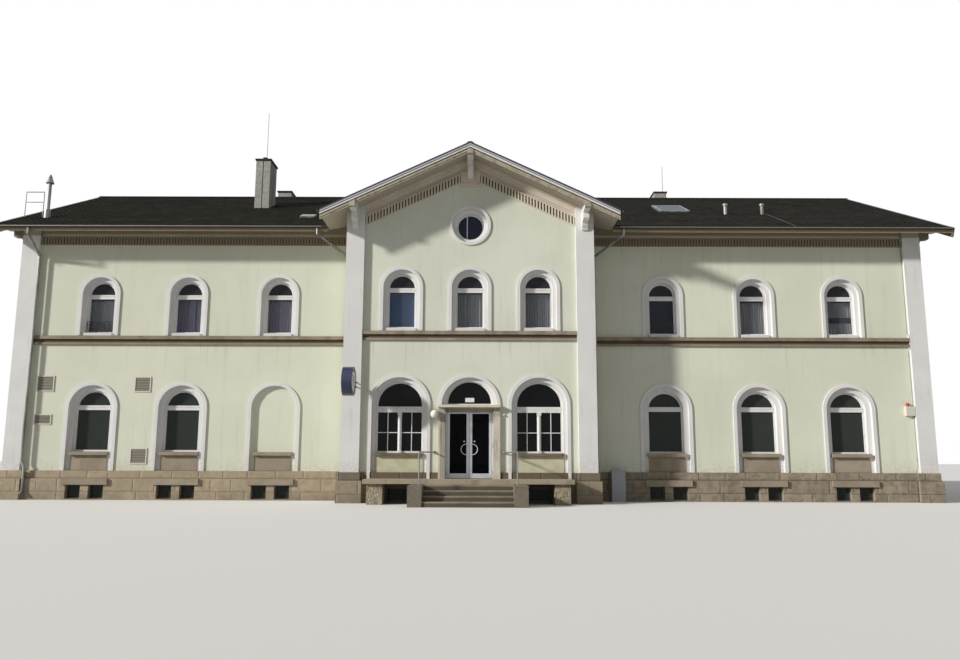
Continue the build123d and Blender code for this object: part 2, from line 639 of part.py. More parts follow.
# Door portal: two posts, beam and canopy slab
k = GC
portal = box(k["r"], k["ro"] - 10, -BAY_F - 100, -BAY_F, Z_FL, SPLIT - 90) + box(k["r"], k["r1"], -BAY_F, -BAY_F + DEEP, Z_FL, SPLIT - 90)
portal = portal + flip(portal)
portal += box(-k["r"], k["r"], -BAY_F + 230, -BAY_F + 340, SPLIT - 240, SPLIT) + box(-k["r"], k["r"], -BAY_F + 340, -BAY_F + 430, SPLIT - 180, SPLIT)
portal += box(-k["r1"], k["r1"], -BAY_F - 260, -BAY_F + DEEP, SPLIT - 90, SPLIT)
portal += box(-k["ro"], k["ro"], -BAY_F - 260, -BAY_F, SPLIT - 90, SPLIT)
add("door_portals", *both(portal))


def lamp(x, globe):
    a = Pos(x, -BAY_F - 15, 3150) * Rot(90, 0, 0) * Cylinder(70, 30) + box(x - 20, x + 20, -BAY_F - 110, -BAY_F, 3130, 3170)
    return a + Pos(x, -BAY_F - 205, 3160) * Sphere(155) if globe else a


add("lamps", *both(lamp(-1248, True), lamp(1240, False)))

# Entrance door: fixed frame and two leaves hung on the outer stiles, pull handles form a ring
FR_Y0, FR_Y1 = -BAY_F + 340, -BAY_F + 420
LEAF_Y0, LEAF_Y1 = FR_Y0 + 10, FR_Y0 + 60
FR_X, FR_IN, HEAD = GC["r"], GC["r"] - 60, SPLIT - 180
PIN_X, PIN_Y = FR_IN - 3, FR_Y0 - 17
HINGE_Z = [Z_FL + d for d in (240, 1170, 2100)]
LEAF_X, LEAF_Z0, LEAF_Z1 = FR_IN - 6, Z_FL + 10, HEAD - 66
GLASS = (104, LEAF_X - 84, Z_FL + 180, HEAD - 116)
RING_Z = Z_FL + 1045

df = box(-FR_X, FR_X, FR_Y0, FR_Y1, Z_FL, HEAD) - box(-FR_IN, FR_IN, FR_Y0 - 1, FR_Y1 + 1, Z_FL - 1, HEAD - 60)
for z in HINGE_Z:
    h = Pos(PIN_X, PIN_Y, z) * Cylinder(6, 110)
    for dz in (-46, 46):
        h += Pos(PIN_X, PIN_Y, z + dz) * Cylinder(11, 30)
        h += box(PIN_X - 7, PIN_X + 33, PIN_Y, FR_Y0, z + dz - 15, z + dz + 15)
    df = df + h + flip(h)
add("door_frame", df)


def leaf():
    a = box(4, LEAF_X, LEAF_Y0, LEAF_Y1, LEAF_Z0, LEAF_Z1)
    a -= box(GLASS[0], GLASS[1], LEAF_Y0 - 1, LEAF_Y1 + 1, GLASS[2], GLASS[3])
    ring = Pos(112, LEAF_Y0 - 70, RING_Z) * Rot(90, 0, 0) * Torus(190, 14)
    a += ring & box(112, 400, LEAF_Y0 - 200, LEAF_Y0, RING_Z - 400, RING_Z + 400)
    for z in (RING_Z - 190, RING_Z + 190):
        a += Pos(83, LEAF_Y0 - 70, z) * Rot(0, 90, 0) * Cylinder(14, 58)
        a += Pos(54, LEAF_Y0 - 35, z) * Rot(90, 0, 0) * Cylinder(14, 70)
        a += Pos(54, LEAF_Y0 - 70, z) * Sphere(14)
    for z in HINGE_Z:
        a += Pos(PIN_X, PIN_Y, z) * Cylinder(11, 60) + box(PIN_X - 35, PIN_X - 8, PIN_Y - 3, LEAF_Y0, z - 30, z + 30)
        a -= Pos(PIN_X, PIN_Y, z) * Cylinder(6.08, 62)
    return a


r_leaf = leaf()
g_leaf = box(GLASS[0], GLASS[1], LEAF_Y0 + 19, LEAF_Y0 + 31, GLASS[2], GLASS[3])
add("door_leaf_left", flip(r_leaf))
add("door_leaf_right", r_leaf)
add("door_glass_left", flip(g_leaf))
add("door_glass_right", g_leaf)

rd = box(-FR_X, FR_X, FR_Y0, FR_Y1, Z_FL, HEAD)
for s in (-1, 1):
    xa, xb = sorted((s * 100, s * (FR_X - 130)))
    rd -= box(xa, xb, FR_Y0 - 1, FR_Y1 + 1, GLASS[2], GLASS[3])
    rg = box(xa, xb, FR_Y0 + 34, FR_Y0 + 46, GLASS[2], GLASS[3])
    parts["window_glass"] += turned(rg).solids()
add("rear_door", turned(rd))

# Station clock: round drum with a dial on each side, on two arms from the bay wall
cy, cz = -BAY_P - 800, 4270
drum = Pos(-4265, cy, cz) * Rot(0, 90, 0) * Cylinder(515, 370)
for s in (-1, 1):
    drum -= Pos(-4265 + s * 180, cy, cz) * Rot(0, 90, 0) * Cylinder(465, 20)
foot_x = -GC_X - (GC["r1"] + GC["ro"]) / 2 + 55
arms = None
for dz in (-90, 90):
    arm = tube([(-4200, cy + 480, cz + dz), (foot_x, -BAY_F - 60, cz - 350 + dz / 2)], 24)
    arms = arm if arms is None else arms + arm
plate = box(foot_x - 70, foot_x + 70, -BAY_F - BAND - 30, -BAY_F, cz - 420, cz - 280)
clock = drum + arms + plate
add("station_clock", clock - b_wall - surround_bay(-GC_X))

# Small fittings on the front: alarm box, louvred vents, cable cabinet
small = [box(END_F - 360, END_F - 20, -FLD - 130, -FLD, 3230, 3590) + Pos(END_F - 260, -FLD - 65, 3650) * Cylinder(55, 130)]


def vent(x0, x1, z0, z1):
    a = box(x0, x1, -FLD - 25, -FLD, z0, z1) - box(x0 + 40, x1 - 40, -FLD - 26, -FLD - 5, z0 + 40, z1 - 40)
    n = 8
    for i in range(n):
        z = z0 + 50 + (z1 - z0 - 100) * (i + 0.5) / n
        a += box(x0 + 35, x1 - 35, -FLD - 18, -FLD, z - 12, z + 12)
    return a


vx = END_F - 650
small += [vent(-x1, -x0, z0, z1) for x0, x1, z0, z1 in
                    ((vx - 330, vx + 330, 4060, 4670), (vx - 330, vx + 330, 2800, 3190), (vx - 4050, vx - 3420, 4050, 4640),
                     (vx - 4070, vx - 3430, 1330, 1920))]
small.append(box(BAY + 660, BAY + 1170, -FLD - 470, -FLD - 120, 0, 1120) + box(BAY + 640, BAY + 1190, -FLD - 490, -FLD - 120, 1120, 1150))
add("wall_fittings", *small)

for name, solids in parts.items():
    shape = Compound(children=[Solid(s.wrapped) if not isinstance(s, Solid) else s for s in solids]) if len(solids) > 1 else solids[0]
    export_step(shape, "parts/" + name + ".step")
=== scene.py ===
import math

import bmesh
import bpy
import numpy as np
from mathutils import Matrix


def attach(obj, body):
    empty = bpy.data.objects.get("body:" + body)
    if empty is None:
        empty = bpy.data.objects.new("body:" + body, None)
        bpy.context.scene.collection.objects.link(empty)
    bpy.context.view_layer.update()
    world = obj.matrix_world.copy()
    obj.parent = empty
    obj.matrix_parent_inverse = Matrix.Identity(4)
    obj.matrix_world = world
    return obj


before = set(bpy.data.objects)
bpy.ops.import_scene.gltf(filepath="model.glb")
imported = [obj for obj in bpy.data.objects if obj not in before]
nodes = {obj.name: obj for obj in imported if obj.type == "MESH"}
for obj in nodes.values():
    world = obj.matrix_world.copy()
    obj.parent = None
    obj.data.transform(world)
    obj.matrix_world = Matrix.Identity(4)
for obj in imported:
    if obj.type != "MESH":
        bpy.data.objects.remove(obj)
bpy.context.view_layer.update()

# The camera stands at eye height in the forecourt, a little to the right of the door's axis,
# and looks slightly upwards, as in the photograph.
EYE = (0.4295, -37.829, 1.70)
TURN, TILT, ROLL = 0.0018, math.radians(98.94), 0.0033
FOCAL_PIXELS, PICTURE_WIDTH, SENSOR = 788.5 * 1.009, 960, 36.0
cam = bpy.data.objects.new("camera", bpy.data.cameras.new("camera"))
bpy.context.collection.objects.link(cam)
bpy.context.scene.camera = cam
cam.data.sensor_width = SENSOR
cam.data.lens = FOCAL_PIXELS / PICTURE_WIDTH * SENSOR
cam.data.clip_end = 500
cam.matrix_world = (Matrix.Translation(EYE) @ Matrix.Rotation(TURN, 4, "Z")
                    @ Matrix.Rotation(TILT, 4, "X") @ Matrix.Rotation(ROLL, 4, "Z"))


# Forecourt and light: a plain pale floor, an even white surround, and one broad lamp high on the left,
# where the sun stands in the photograph. The floor looks pale, but throws less light up under the eaves than
# it shows, as dull paving does. The floor and lamp are no part of the building.
class Value:
    """A socket of a material. Python's operators on it add the Math node that does the same."""

    def __init__(self, finish, socket):
        self.finish, self.socket = finish, socket

    def math(self, operation, *others, swap=False):
        terms = [self, *others]
        if swap:
            terms.reverse()
        return self.finish.node("Math", {"operation": operation}, dict(enumerate(terms)))

    def __add__(self, o): return self.math("ADD", o)
    def __sub__(self, o): return self.math("SUBTRACT", o)
    def __mul__(self, o): return self.math("MULTIPLY", o)
    def __truediv__(self, o): return self.math("DIVIDE", o)
    def __gt__(self, o): return self.math("GREATER_THAN", o)
    def __lt__(self, o): return self.math("LESS_THAN", o)
    def __radd__(self, o): return self.math("ADD", o)
    def __rmul__(self, o): return self.math("MULTIPLY", o)
    def __rsub__(self, o): return self.math("SUBTRACT", o, swap=True)
    def __rtruediv__(self, o): return self.math("DIVIDE", o, swap=True)
    def __abs__(self): return self.math("ABSOLUTE")
    def floor(self): return self.math("FLOOR")
    def fraction(self): return self.math("FRACT")
    def least(self, o): return self.math("MINIMUM", o)
    def most(self, o): return self.math("MAXIMUM", o)

    def step(self, low, high):
        """0 below low, 1 above high, smooth between."""
        return self.finish.node("MapRange", {"interpolation_type": "SMOOTHSTEP"}, {0: self, 1: low, 2: high})

    def between(self, low, high):
        """1 from low to high, 0 outside."""
        return (self > low) * (self < high)


class Finish:
    """A material while it is built. node() adds any node from its type, its settings and its inputs."""

    def __init__(self, name, **fixed):
        self.material = bpy.data.materials.new(name)
        self.material.use_nodes = True
        self.tree = self.material.node_tree
        self.shader = self.tree.nodes["Principled BSDF"]
        for key, value in fixed.items():
            self.shader.inputs[key.replace("_", " ")].default_value = value
        self.place = self.node("TexCoord", out="Object")
        self.x, self.y, self.z = (self.node("SeparateXYZ", {}, {0: self.place}, axis) for axis in "XYZ")

    def node(self, kind, settings=None, inputs=None, out=0):
        made = self.tree.nodes.new("ShaderNode" + kind)
        for key, value in (settings or {}).items():
            setattr(made, key, value)
        for key, value in (inputs or {}).items():
            if isinstance(value, Value):
                self.tree.links.new(value.socket, made.inputs[key])
            else:
                made.inputs[key].default_value = value
        return Value(self, made.outputs[out])

    def vector(self, x=0.0, y=0.0, z=0.0):
        return self.node("CombineXYZ", {}, {0: x, 1: y, 2: z})

    def noise(self, scale, detail=4.0, rough=0.55, at=None):
        return self.node("TexNoise", {}, {"Vector": at or self.place, "Scale": scale, "Detail": detail,
                                          "Roughness": rough})

    def drawn(self, across, along, detail=4.0, rough=0.6):
        """Noise drawn out along z: its scale is across in x and y, and along in z."""
        return self.noise(1.0, detail, rough, self.vector(self.x * across, self.y * across, self.z * along))

    def random(self, at):
        return self.node("TexWhiteNoise", {"noise_dimensions": "3D"}, {"Vector": at})

    def mix(self, share, first, second):
        return self.node("Mix", {"data_type": "RGBA", "blend_type": "MIX"},
                         {0: share, 6: opaque(first), 7: opaque(second)}, 2)

    def facing(self, axis):
        """The surface normal's part along one axis."""
        normal = self.node("NewGeometry", out="True Normal")
        return self.node("SeparateXYZ", {}, {0: normal}, axis)

    def wear(self, **links):
        """Joins what varies over the surface to the shader."""
        for key, value in links.items():
            self.tree.links.new(value.socket, self.shader.inputs[key.replace("_", " ")])
        return self.material

    def bump(self, height, depth, strength=1.0):
        return self.node("Bump", {}, {"Strength": strength, "Distance": depth, "Height": height})


def opaque(colour):
    """A colour with its fourth number, which is 1, or a socket as it is."""
    return colour if isinstance(colour, Value) or len(colour) == 4 else (*colour, 1.0)


HALF_FLOOR, FLOOR_DROP = 150, 0.002
FLOOR_SHOWN, FLOOR_LIT = (0.80, 0.795, 0.785), (0.44, 0.44, 0.43)
floor = bpy.data.meshes.new("floor")
floor.from_pydata([(x * HALF_FLOOR, y * HALF_FLOOR, -FLOOR_DROP) for x, y in ((-1, -1), (1, -1), (1, 1), (-1, 1))],
                  [], [(0, 1, 2, 3)])
paving = Finish("pale_floor", Roughness=0.9)
direct = paving.node("LightPath", out="Is Camera Ray")
for ray in ("Is Glossy Ray", "Is Transmission Ray"):
    direct = direct.most(paving.node("LightPath", out=ray))
paving.wear(Base_Color=paving.mix(direct, FLOOR_LIT, FLOOR_SHOWN))
floor.materials.append(paving.material)
floor = bpy.data.objects.new("floor", floor)
bpy.context.collection.objects.link(floor)

SUN, SUN_SIZE, SUN_COLOUR = 4.2, math.radians(4), (1.0, 0.97, 0.92)
AIM = np.array([2.10, 1.00, -0.90])
lamp = bpy.data.objects.new("sun", bpy.data.lights.new("sun", "SUN"))
bpy.context.collection.objects.link(lamp)
lamp.data.energy = SUN
lamp.data.angle = SUN_SIZE
lamp.data.color = SUN_COLOUR
sideways, upwards = math.atan2(AIM[1], AIM[0]) - math.pi / 2, math.acos(-AIM[2] / np.linalg.norm(AIM))
lamp.matrix_world = Matrix.Rotation(sideways, 4, "Z") @ Matrix.Rotation(upwards, 4, "X")

FILL = 0.28
world = bpy.data.worlds.new("world")
bpy.context.scene.world = world
world.use_nodes = True
seen = world.node_tree.nodes.new("ShaderNodeLightPath")
ground = world.node_tree.nodes["Background"]


def world_math(operation, a, b):
    """A Math node of the surround, from numbers or sockets."""
    made = world.node_tree.nodes.new("ShaderNodeMath")
    made.operation = operation
    for socket, value in zip(made.inputs, (a, b)):
        if isinstance(value, float):
            socket.default_value = value
        else:
            world.node_tree.links.new(value, socket)
    return made.outputs[0]


shown = world_math("MAXIMUM", world_math("MAXIMUM", seen.outputs["Is Camera Ray"], seen.outputs["Is Glossy Ray"]),
                   seen.outputs["Is Transmission Ray"])
strength = world_math("ADD", world_math("MULTIPLY", shown, 1.0 - FILL), FILL)
world.node_tree.links.new(strength, ground.inputs["Strength"])
ground.inputs["Color"].default_value = (1, 1, 1, 1)
bpy.context.scene.view_settings.view_transform = "Standard"


# Rendered walls: smooth lime render in a pale yellow green, mottled where it was patched, with rain streaks
# under the cornices and string course and splash dirt above the plinth.
def srgb(r, g, b):
    """A colour written in 0 to 255 as on a paint card, as linear light."""
    return tuple((c / 255 / 12.92 if c / 255 <= 0.04045 else ((c / 255 + 0.055) / 1.055) ** 2.4)
                 for c in (r, g, b))


def dress(material, *names):
    """Gives CAD nodes their material."""
    for name in names:
        slots = nodes[name].data.materials
        slots.clear()
        slots.append(material)


RIDGE, PITCH = 14.23, 0.465        # main roof: height of the ridge, fall for each metre
CROSS, PITCH_C = 13.08, 0.470      # the same for the roofs of the bays
PLINTH_TOP, COURSE_FOOT, WING_EAVE = 1.08, 5.95, 10.56
WING_Y, BAY_Y = 8.0, 8.3           # the wings' walls lie within the first, the bays' faces past the second
END_X = 17.4                       # the gable ends lie past this
FRIEZE, FRIEZE_WING, DENTILS, FILLET = 0.46, 0.39, 0.31, 0.05     # heights, from the eave or verge downwards

render = Finish("wall_render", Roughness=0.88)
cloud = render.noise(0.35, 5.0)
fine = render.noise(9.0, 6.0, 0.65)
streak = render.drawn(5.0, 0.35)
splash = 1 - render.z.step(PLINTH_TOP, 1.7)
under_course = render.z.step(4.9, 5.9) * (render.z < COURSE_FOOT)
tone = render.mix(cloud.step(0.35, 0.7), srgb(208, 211, 196), srgb(217, 220, 206))
tone = render.mix(streak.step(0.52, 0.75) * (0.22 + 0.3 * under_course), tone, srgb(168, 168, 144))
tone = render.mix(splash * fine.step(0.35, 0.7) * 0.4, tone, srgb(158, 150, 128))
tone = render.mix(fine.step(0.62, 0.8) * 0.18, tone, srgb(180, 180, 158))
far_x, far_y = abs(render.x), abs(render.y)
tone = render.mix((far_y < WING_Y) * 0.12, tone, srgb(216, 214, 180))
bay_face, end_face = far_y > BAY_Y, far_x > END_X
# The gable ends' walls are painted darker as shade, to tone down the strong side light on them.
tone = render.mix(end_face * 0.5, tone, srgb(172, 174, 158))
drop_bay = CROSS - far_x * PITCH_C - render.z
drop_end = RIDGE - far_y * PITCH - render.z
drop_wing = WING_EAVE - render.z
drop = drop_wing + (drop_bay - 0.2 - drop_wing) * bay_face
drop = drop + (drop_end - 0.2 - drop) * end_face
wing = (1 - bay_face) * (1 - end_face)
foot = FRIEZE + wing * (FRIEZE_WING - FRIEZE)
frieze = render.mix(cloud.step(0.35, 0.7), srgb(204, 196, 184), srgb(188, 180, 166))
tone = render.mix(drop < foot, tone, frieze)
# Between the dentils the render is painted dark as shade, less dark on the wings.
behind = render.mix(bay_face.most(end_face), srgb(122, 112, 90), srgb(96, 90, 78))
tone = render.mix(drop.between(foot, foot + DENTILS), tone, behind)
tone = render.mix(drop.between(foot + DENTILS, foot + DENTILS + FILLET) * wing, tone, srgb(226, 222, 210))
dress(render.wear(Base_Color=tone, Normal=render.bump(fine + cloud * 0.6, 0.006, 0.35)),
      "walls_wings", "walls_ends", "walls_bay_sides", "walls_beside_door", "wall_over_door", "wall_rear_bay")

# Pilasters, window surrounds and dentil cornices: fine lime render painted off-white, greyed by rain, with dirt at
# the foot. The cornices were painted in a warmer cream. Painted shade darkens them under the long eaves, the corner
# pilasters' heads there and the gable ends' faces.
EAVE_SHADE_Z, DRIP_TOP, EAVE_HALF = 9.55, 9.6, (17.0, 8.4)
CORNER_X, CORNER_Y, CORNER_Z = 16.9, 6.7, 10.20     # the heads of the corner pilasters lie past these
END_SHADE_X = 17.36                                   # and the gable ends' faces past this, painted darker as shade
for name, dark, light, painted in (
        ("white_render", srgb(214, 214, 214), srgb(222, 221, 220),
         ("pilasters", "surrounds_upper", "surrounds_ground")),
        ("cornice_render", srgb(206, 196, 179), srgb(218, 208, 194), ("cornices",))):
    white = Finish(name, Roughness=0.8)
    cloud = white.noise(0.8, 5.0)
    grain = white.noise(14.0, 5.0, 0.6)
    drip = white.drawn(7.0, 0.5)
    tone = white.mix(cloud.step(0.35, 0.7), dark, light)
    tone = white.mix(drip.step(0.55, 0.78) * 0.35 * (white.z < DRIP_TOP), tone, srgb(166, 164, 160))
    foot = 1 - white.z.step(1.0, 2.2)
    tone = white.mix(foot * grain.step(0.4, 0.65) * 0.4, tone, srgb(172, 162, 150))
    if name == "cornice_render":
        # Under the wings' long eaves the cream is painted darker as shade.
        eaves = (abs(white.x) < EAVE_HALF[0]) * (abs(white.y) < EAVE_HALF[1]) * (white.z > EAVE_SHADE_Z)
        tone = white.mix(eaves * 0.8, tone, srgb(118, 106, 80))
    # The corner pilasters' heads under the eaves are painted darker as shade.
    corner = (abs(white.x) > CORNER_X) * (abs(white.y) > CORNER_Y) * (white.z > CORNER_Z)
    tone = white.mix(corner * 0.7, tone, srgb(132, 120, 94))
    # The gable ends' faces are painted darker as shade, to tone down the strong side light on them.
    painted_end_shade = (abs(white.x) > END_SHADE_X) * (abs(white.facing("X")) > 0.5)
    tone = white.mix(painted_end_shade * 0.6, tone, srgb(184, 182, 176))
    dress(white.wear(Base_Color=tone, Normal=white.bump(grain, 0.003, 0.2)), *painted)

# Door surround: two square posts, a beam and a thin canopy slab, rendered and painted cream. Rust and rain have
# stained it brown in streaks. The beam under the slab and the left post beside the door are painted darker as
# shade.
BEAM_Z, CANOPY_Z, LEFT_POST = 3.08, 3.395, (-1.055, -0.86)
portal = Finish("cream_paint", Roughness=0.7)
cloud = portal.noise(2.2, 5.0)
drip = portal.drawn(14.0, 1.2, 5.0)
tone = portal.mix(cloud.step(0.4, 0.7), srgb(188, 182, 166), srgb(204, 199, 184))
tone = portal.mix(drip.step(0.5, 0.7) * 0.55, tone, srgb(132, 112, 88))
# The beam under the slab and the left post's inner part are painted darker as shade.
tone = portal.mix(portal.z.between(BEAM_Z, CANOPY_Z) * 0.4, tone, srgb(112, 98, 76))
tone = portal.mix(portal.x.between(*LEFT_POST) * (portal.z < BEAM_Z) * 0.6, tone, srgb(112, 102, 86))
tone = portal.mix((portal.z > CANOPY_Z) * 0.5, tone, srgb(214, 209, 196))
dress(portal.wear(Base_Color=tone, Normal=portal.bump(drip, 0.002, 0.3)), "door_portals")


# Plinth: courses of squared granite and sandstone with rough faces, laid in lime mortar. The joints are open in
# places, the stones vary from bed to bed, and damp darkens the foot.
def joint_gap(run, width):
    """Distance to the nearest of the upright joints, which are a width apart: the width times one half less how far
    the fraction of run over width lies from one half."""
    return (0.5 - abs((run / width).fraction() - 0.5)) * width


def blocks(stone, rows, width, tones, mortar, joint=0.010, bow=0.0):
    """Squared stones in courses. rows are the heights of the bed joints; the upright joints are a width apart,
    drawn uneven by a slow noise and moved on from course to course. Gives the colour and the height for a bump."""
    run = stone.x + stone.y
    course = sum(((stone.z > level) for level in rows), start=stone.z * 0.0)
    wander = stone.noise(0.45, 0.0, at=stone.vector(run, course * 3.1)) - 0.5
    run = run + course * (width * 0.43) + wander * (width * 1.4)
    gap = joint_gap(run, width)
    for level in rows:
        gap = gap.least(abs(stone.z - level))
    odd = stone.random(stone.vector((run / width).floor(), course))
    rough = stone.noise(16.0, 6.0, 0.7)
    patch = stone.noise(1.7, 4.0)
    lump = stone.noise(4.5, 5.0, 0.7)
    warm, cool, dark, bright = tones
    colour = stone.mix(odd, warm, cool)
    colour = stone.mix(patch.step(0.4, 0.75) * 0.6, colour, dark)
    colour = stone.mix(rough.step(0.5, 0.8) * 0.45, colour, bright)
    colour = stone.mix((1 - lump.step(0.38, 0.54)) * 0.65, colour, dark)
    face = gap.step(joint * 0.4, joint * 1.3)
    colour = stone.mix((1 - face) * 0.8, colour, mortar)
    return colour, face * 0.6 + rough * 0.4 + lump * 1.2 + bow * gap.step(0.0, 0.06)


BEDS, STONE_LENGTH, PLINTH_BAY_Y = (0.30, 0.79), 1.05, 8.5
PALE_X, TERRACE_X = -5.0, 3.8     # the sunlit left wing's plinth is paler, and that under the terrace is painted darker as shade
STONES = (srgb(160, 147, 127), srgb(142, 131, 115), srgb(112, 103, 91), srgb(180, 168, 148))
stone = Finish("plinth_stone", Roughness=0.92)
tone, height = blocks(stone, BEDS, STONE_LENGTH, STONES, srgb(94, 84, 72), bow=0.5)
at_bay = abs(stone.y) > PLINTH_BAY_Y
tone = stone.mix(at_bay * 0.5, tone, srgb(146, 134, 114))
tone = stone.mix(at_bay * (stone.z > BEDS[1]) * 0.6, tone, srgb(86, 78, 68))
tone = stone.mix((stone.x < PALE_X) * 0.35, tone, srgb(196, 178, 148))
damp = (1 - stone.z.step(0.0, 0.5)) * stone.noise(0.9, 4.0).step(0.4, 0.7)
tone = stone.mix(damp * 0.5, tone, srgb(96, 88, 76))
# The bay's plinth behind the terrace is painted darker as shade.
tone = stone.mix((abs(stone.x) < TERRACE_X) * at_bay * 0.6, tone, srgb(88, 76, 56))
dress(stone.wear(Base_Color=tone, Normal=stone.bump(height, 0.02, 0.8)),
      "plinth_wings", "plinth_ends", "plinth_corners", "plinth_bays")

# String courses, window sills with their aprons, and the ledges over the cellar windows: dressed sandstone,
# in slabs a little over a metre long, darkened by soot on their upper edges. The course's hollow is painted dark as
# shade.
SLAB, LIP_Z, HOLLOW = 1.16, 6.05, (5.96, 6.088)
SILL_FOOT, APRON_TOP = 1.085, 1.673
sand = Finish("dressed_sandstone", Roughness=0.85)
run = sand.x + sand.y
seam = joint_gap(run, SLAB)
grain = sand.noise(22.0, 6.0, 0.65)
soot = sand.noise(2.4, 5.0)
course = sand.z.between(5.8, 6.3)
slab = sand.random(sand.vector((run / SLAB).floor(), (sand.z * 2.0).floor()))
tone = sand.mix(slab, srgb(160, 147, 130), srgb(143, 131, 115))
tone = sand.mix(soot.step(0.42, 0.7) * (0.35 + 0.4 * (sand.z > LIP_Z) * course), tone, srgb(112, 101, 84))
tone = sand.mix(sand.facing("Z").step(0.5, 0.9) * 0.5, tone, srgb(110, 102, 86))
tone = sand.mix((1 - seam.step(0.004, 0.010)) * course * (sand.z < 6.0), tone, srgb(92, 78, 64))
tone = sand.mix(course * (abs(sand.y) < WING_Y) * 0.3, tone, srgb(112, 98, 78))
# The course's hollow is painted dark as shade.
tone = sand.mix(course * sand.z.between(*HOLLOW) * 0.8, tone, srgb(70, 56, 42))
bed = 1 - abs(sand.z - SILL_FOOT).step(0.004, 0.012)
tone = sand.mix(bed, tone, srgb(96, 82, 68))
at_bay = (abs(sand.y) > BAY_Y) * (sand.z < 3.0)
apron = sand.mix(soot.step(0.4, 0.7), srgb(194, 192, 166), srgb(180, 174, 142))
tone = sand.mix(at_bay * (sand.z < APRON_TOP), tone, apron)
sill = sand.mix(soot.step(0.4, 0.7), srgb(116, 104, 85), srgb(86, 76, 62))
tone = sand.mix(at_bay * (sand.z > APRON_TOP), tone, sill)
dress(sand.wear(Base_Color=tone, Normal=sand.bump(grain - bed, 0.004, 0.5)),
      "string_courses", "window_sills", "cellar_lintels")

# Steps, cheek blocks and terrace slabs: split granite, light brown and grey, worn smooth on the treads. Upward
# faces are painted lighter, partly for that wear and partly as painted light. Each riser is painted dark as shade
# under its nosing, and the slabs on top were washed lighter.
HALF_STEPS, SLAB_FOOT, RISER, PAVING_SLAB = 1.53, 0.69, 0.172, 1.4
granite = Finish("granite", Roughness=0.82)
speck = granite.noise(60.0, 4.0, 0.7)
patch = granite.noise(1.4, 5.0)
seam = joint_gap(granite.x + granite.y * 0.7, PAVING_SLAB)
tone = granite.mix(patch.step(0.35, 0.7), srgb(140, 130, 112), srgb(110, 101, 86))
tone = granite.mix(speck.step(0.45, 0.7) * 0.5, tone, srgb(172, 162, 144))
# Upward faces are lighter, partly wear and partly painted light.
tone = granite.mix(granite.facing("Z").step(0.7, 0.95) * 0.35, tone, srgb(172, 164, 148))
# Each riser is painted dark as shade below its nosing.
riser = (abs(granite.x) < HALF_STEPS) * (granite.z < SLAB_FOOT) * (1 - granite.facing("Z").step(0.3, 0.7))
nosing = (granite.z / RISER).fraction().step(0.70, 0.82)
tone = granite.mix(riser * (1 - nosing) * 0.8, tone, srgb(58, 50, 38))
tone = granite.mix((granite.z > SLAB_FOOT + 0.01) * 0.5, tone, srgb(176, 164, 142))
tone = granite.mix(1 - seam.step(0.003, 0.009), tone, srgb(84, 76, 66))
dress(granite.wear(Base_Color=tone, Normal=granite.bump(speck + patch, 0.005, 0.5)), "steps", "terrace_slabs")

# The outer blocks that carry the terrace are rubble stones in rough, pale mortar. The inner ones, in the shade
# of the slabs, are plain dark stone.
RUBBLE_X, STONES_PER_METRE = 2.6, 5.5
rubble = Finish("rubble", Roughness=0.95)
cells = {"Vector": rubble.place, "Scale": STONES_PER_METRE}
cell = rubble.node("TexVoronoi", {"feature": "DISTANCE_TO_EDGE"}, cells)
tint = rubble.random(rubble.node("TexVoronoi", {"feature": "F1"}, cells, "Position"))
patch = rubble.noise(8.0, 5.0)
outer = abs(rubble.x) > RUBBLE_X
tone = rubble.mix(tint, srgb(168, 157, 133), srgb(142, 131, 110))
tone = rubble.mix(1 - outer, tone, srgb(118, 110, 96))
tone = rubble.mix(patch.step(0.4, 0.7) * 0.5, tone, srgb(96, 88, 74))
tone = rubble.mix((1 - cell.step(0.01, 0.07)) * outer * 0.8, tone, srgb(178, 168, 146))
relief = rubble.bump(cell.step(0.02, 0.12) * outer + patch * 0.4, 0.02, 0.8)
dress(rubble.wear(Base_Color=tone, Normal=relief), "terrace_blocks")

# Roof: dark interlocking clay tiles in straight courses, grown over with moss and lichen, on the CAD slabs.
# One sheet for each slope: courses overlap downwards like steps, and every tile has a roll on its side.
EAVE, VERGE, C_EAVE, C_VERGE = 8.37, 18.44, 5.46, 9.96
TILE_W, TILE_RUN, BOARD_W, GABLE_X = 0.222, 0.310, 0.15, 17.64
tiles = Finish("roof_tiles", Roughness=0.92, Specular_IOR_Level=0.08)
on_bay = abs(tiles.facing("X")) > abs(tiles.facing("Y"))
along = tiles.x + (tiles.y - tiles.x) * on_bay
fall = abs(tiles.y) + (abs(tiles.x) - abs(tiles.y)) * on_bay
odd = tiles.random(tiles.vector((along / TILE_W).floor(), (fall / TILE_RUN).floor()))
moss = tiles.noise(1.1, 6.0, 0.7)
lichen = tiles.noise(11.0, 6.0, 0.75)
tone = tiles.mix(odd, srgb(28, 27, 26), srgb(40, 39, 37))
mossy = (moss + 0.12 * (1 - tiles.x.step(-5.0, 5.0))).step(0.45, 0.68)
tone = tiles.mix(mossy * 0.85, tone, srgb(22, 25, 15))
tone = tiles.mix((1 - moss).step(0.5, 0.62) * 0.4, tone, srgb(50, 40, 32))
tone = tiles.mix(lichen.step(0.54, 0.72) * (0.25 + 0.4 * tiles.z.step(12.9, 14.0)), tone, srgb(78, 74, 62))
under = tiles.facing("Z") < -0.2
lay = tiles.y + (tiles.x - tiles.y) * (abs(tiles.x) > GABLE_X)
board_joint = 1 - joint_gap(lay, BOARD_W).step(0.003, 0.008)
tone = tiles.mix(under, tone, tiles.mix(board_joint, srgb(186, 178, 162), srgb(116, 108, 96)))
edge_main = (fall > EAVE - 0.01) * (1 - on_bay) * (tiles.z < RIDGE - PITCH * EAVE - 0.02)
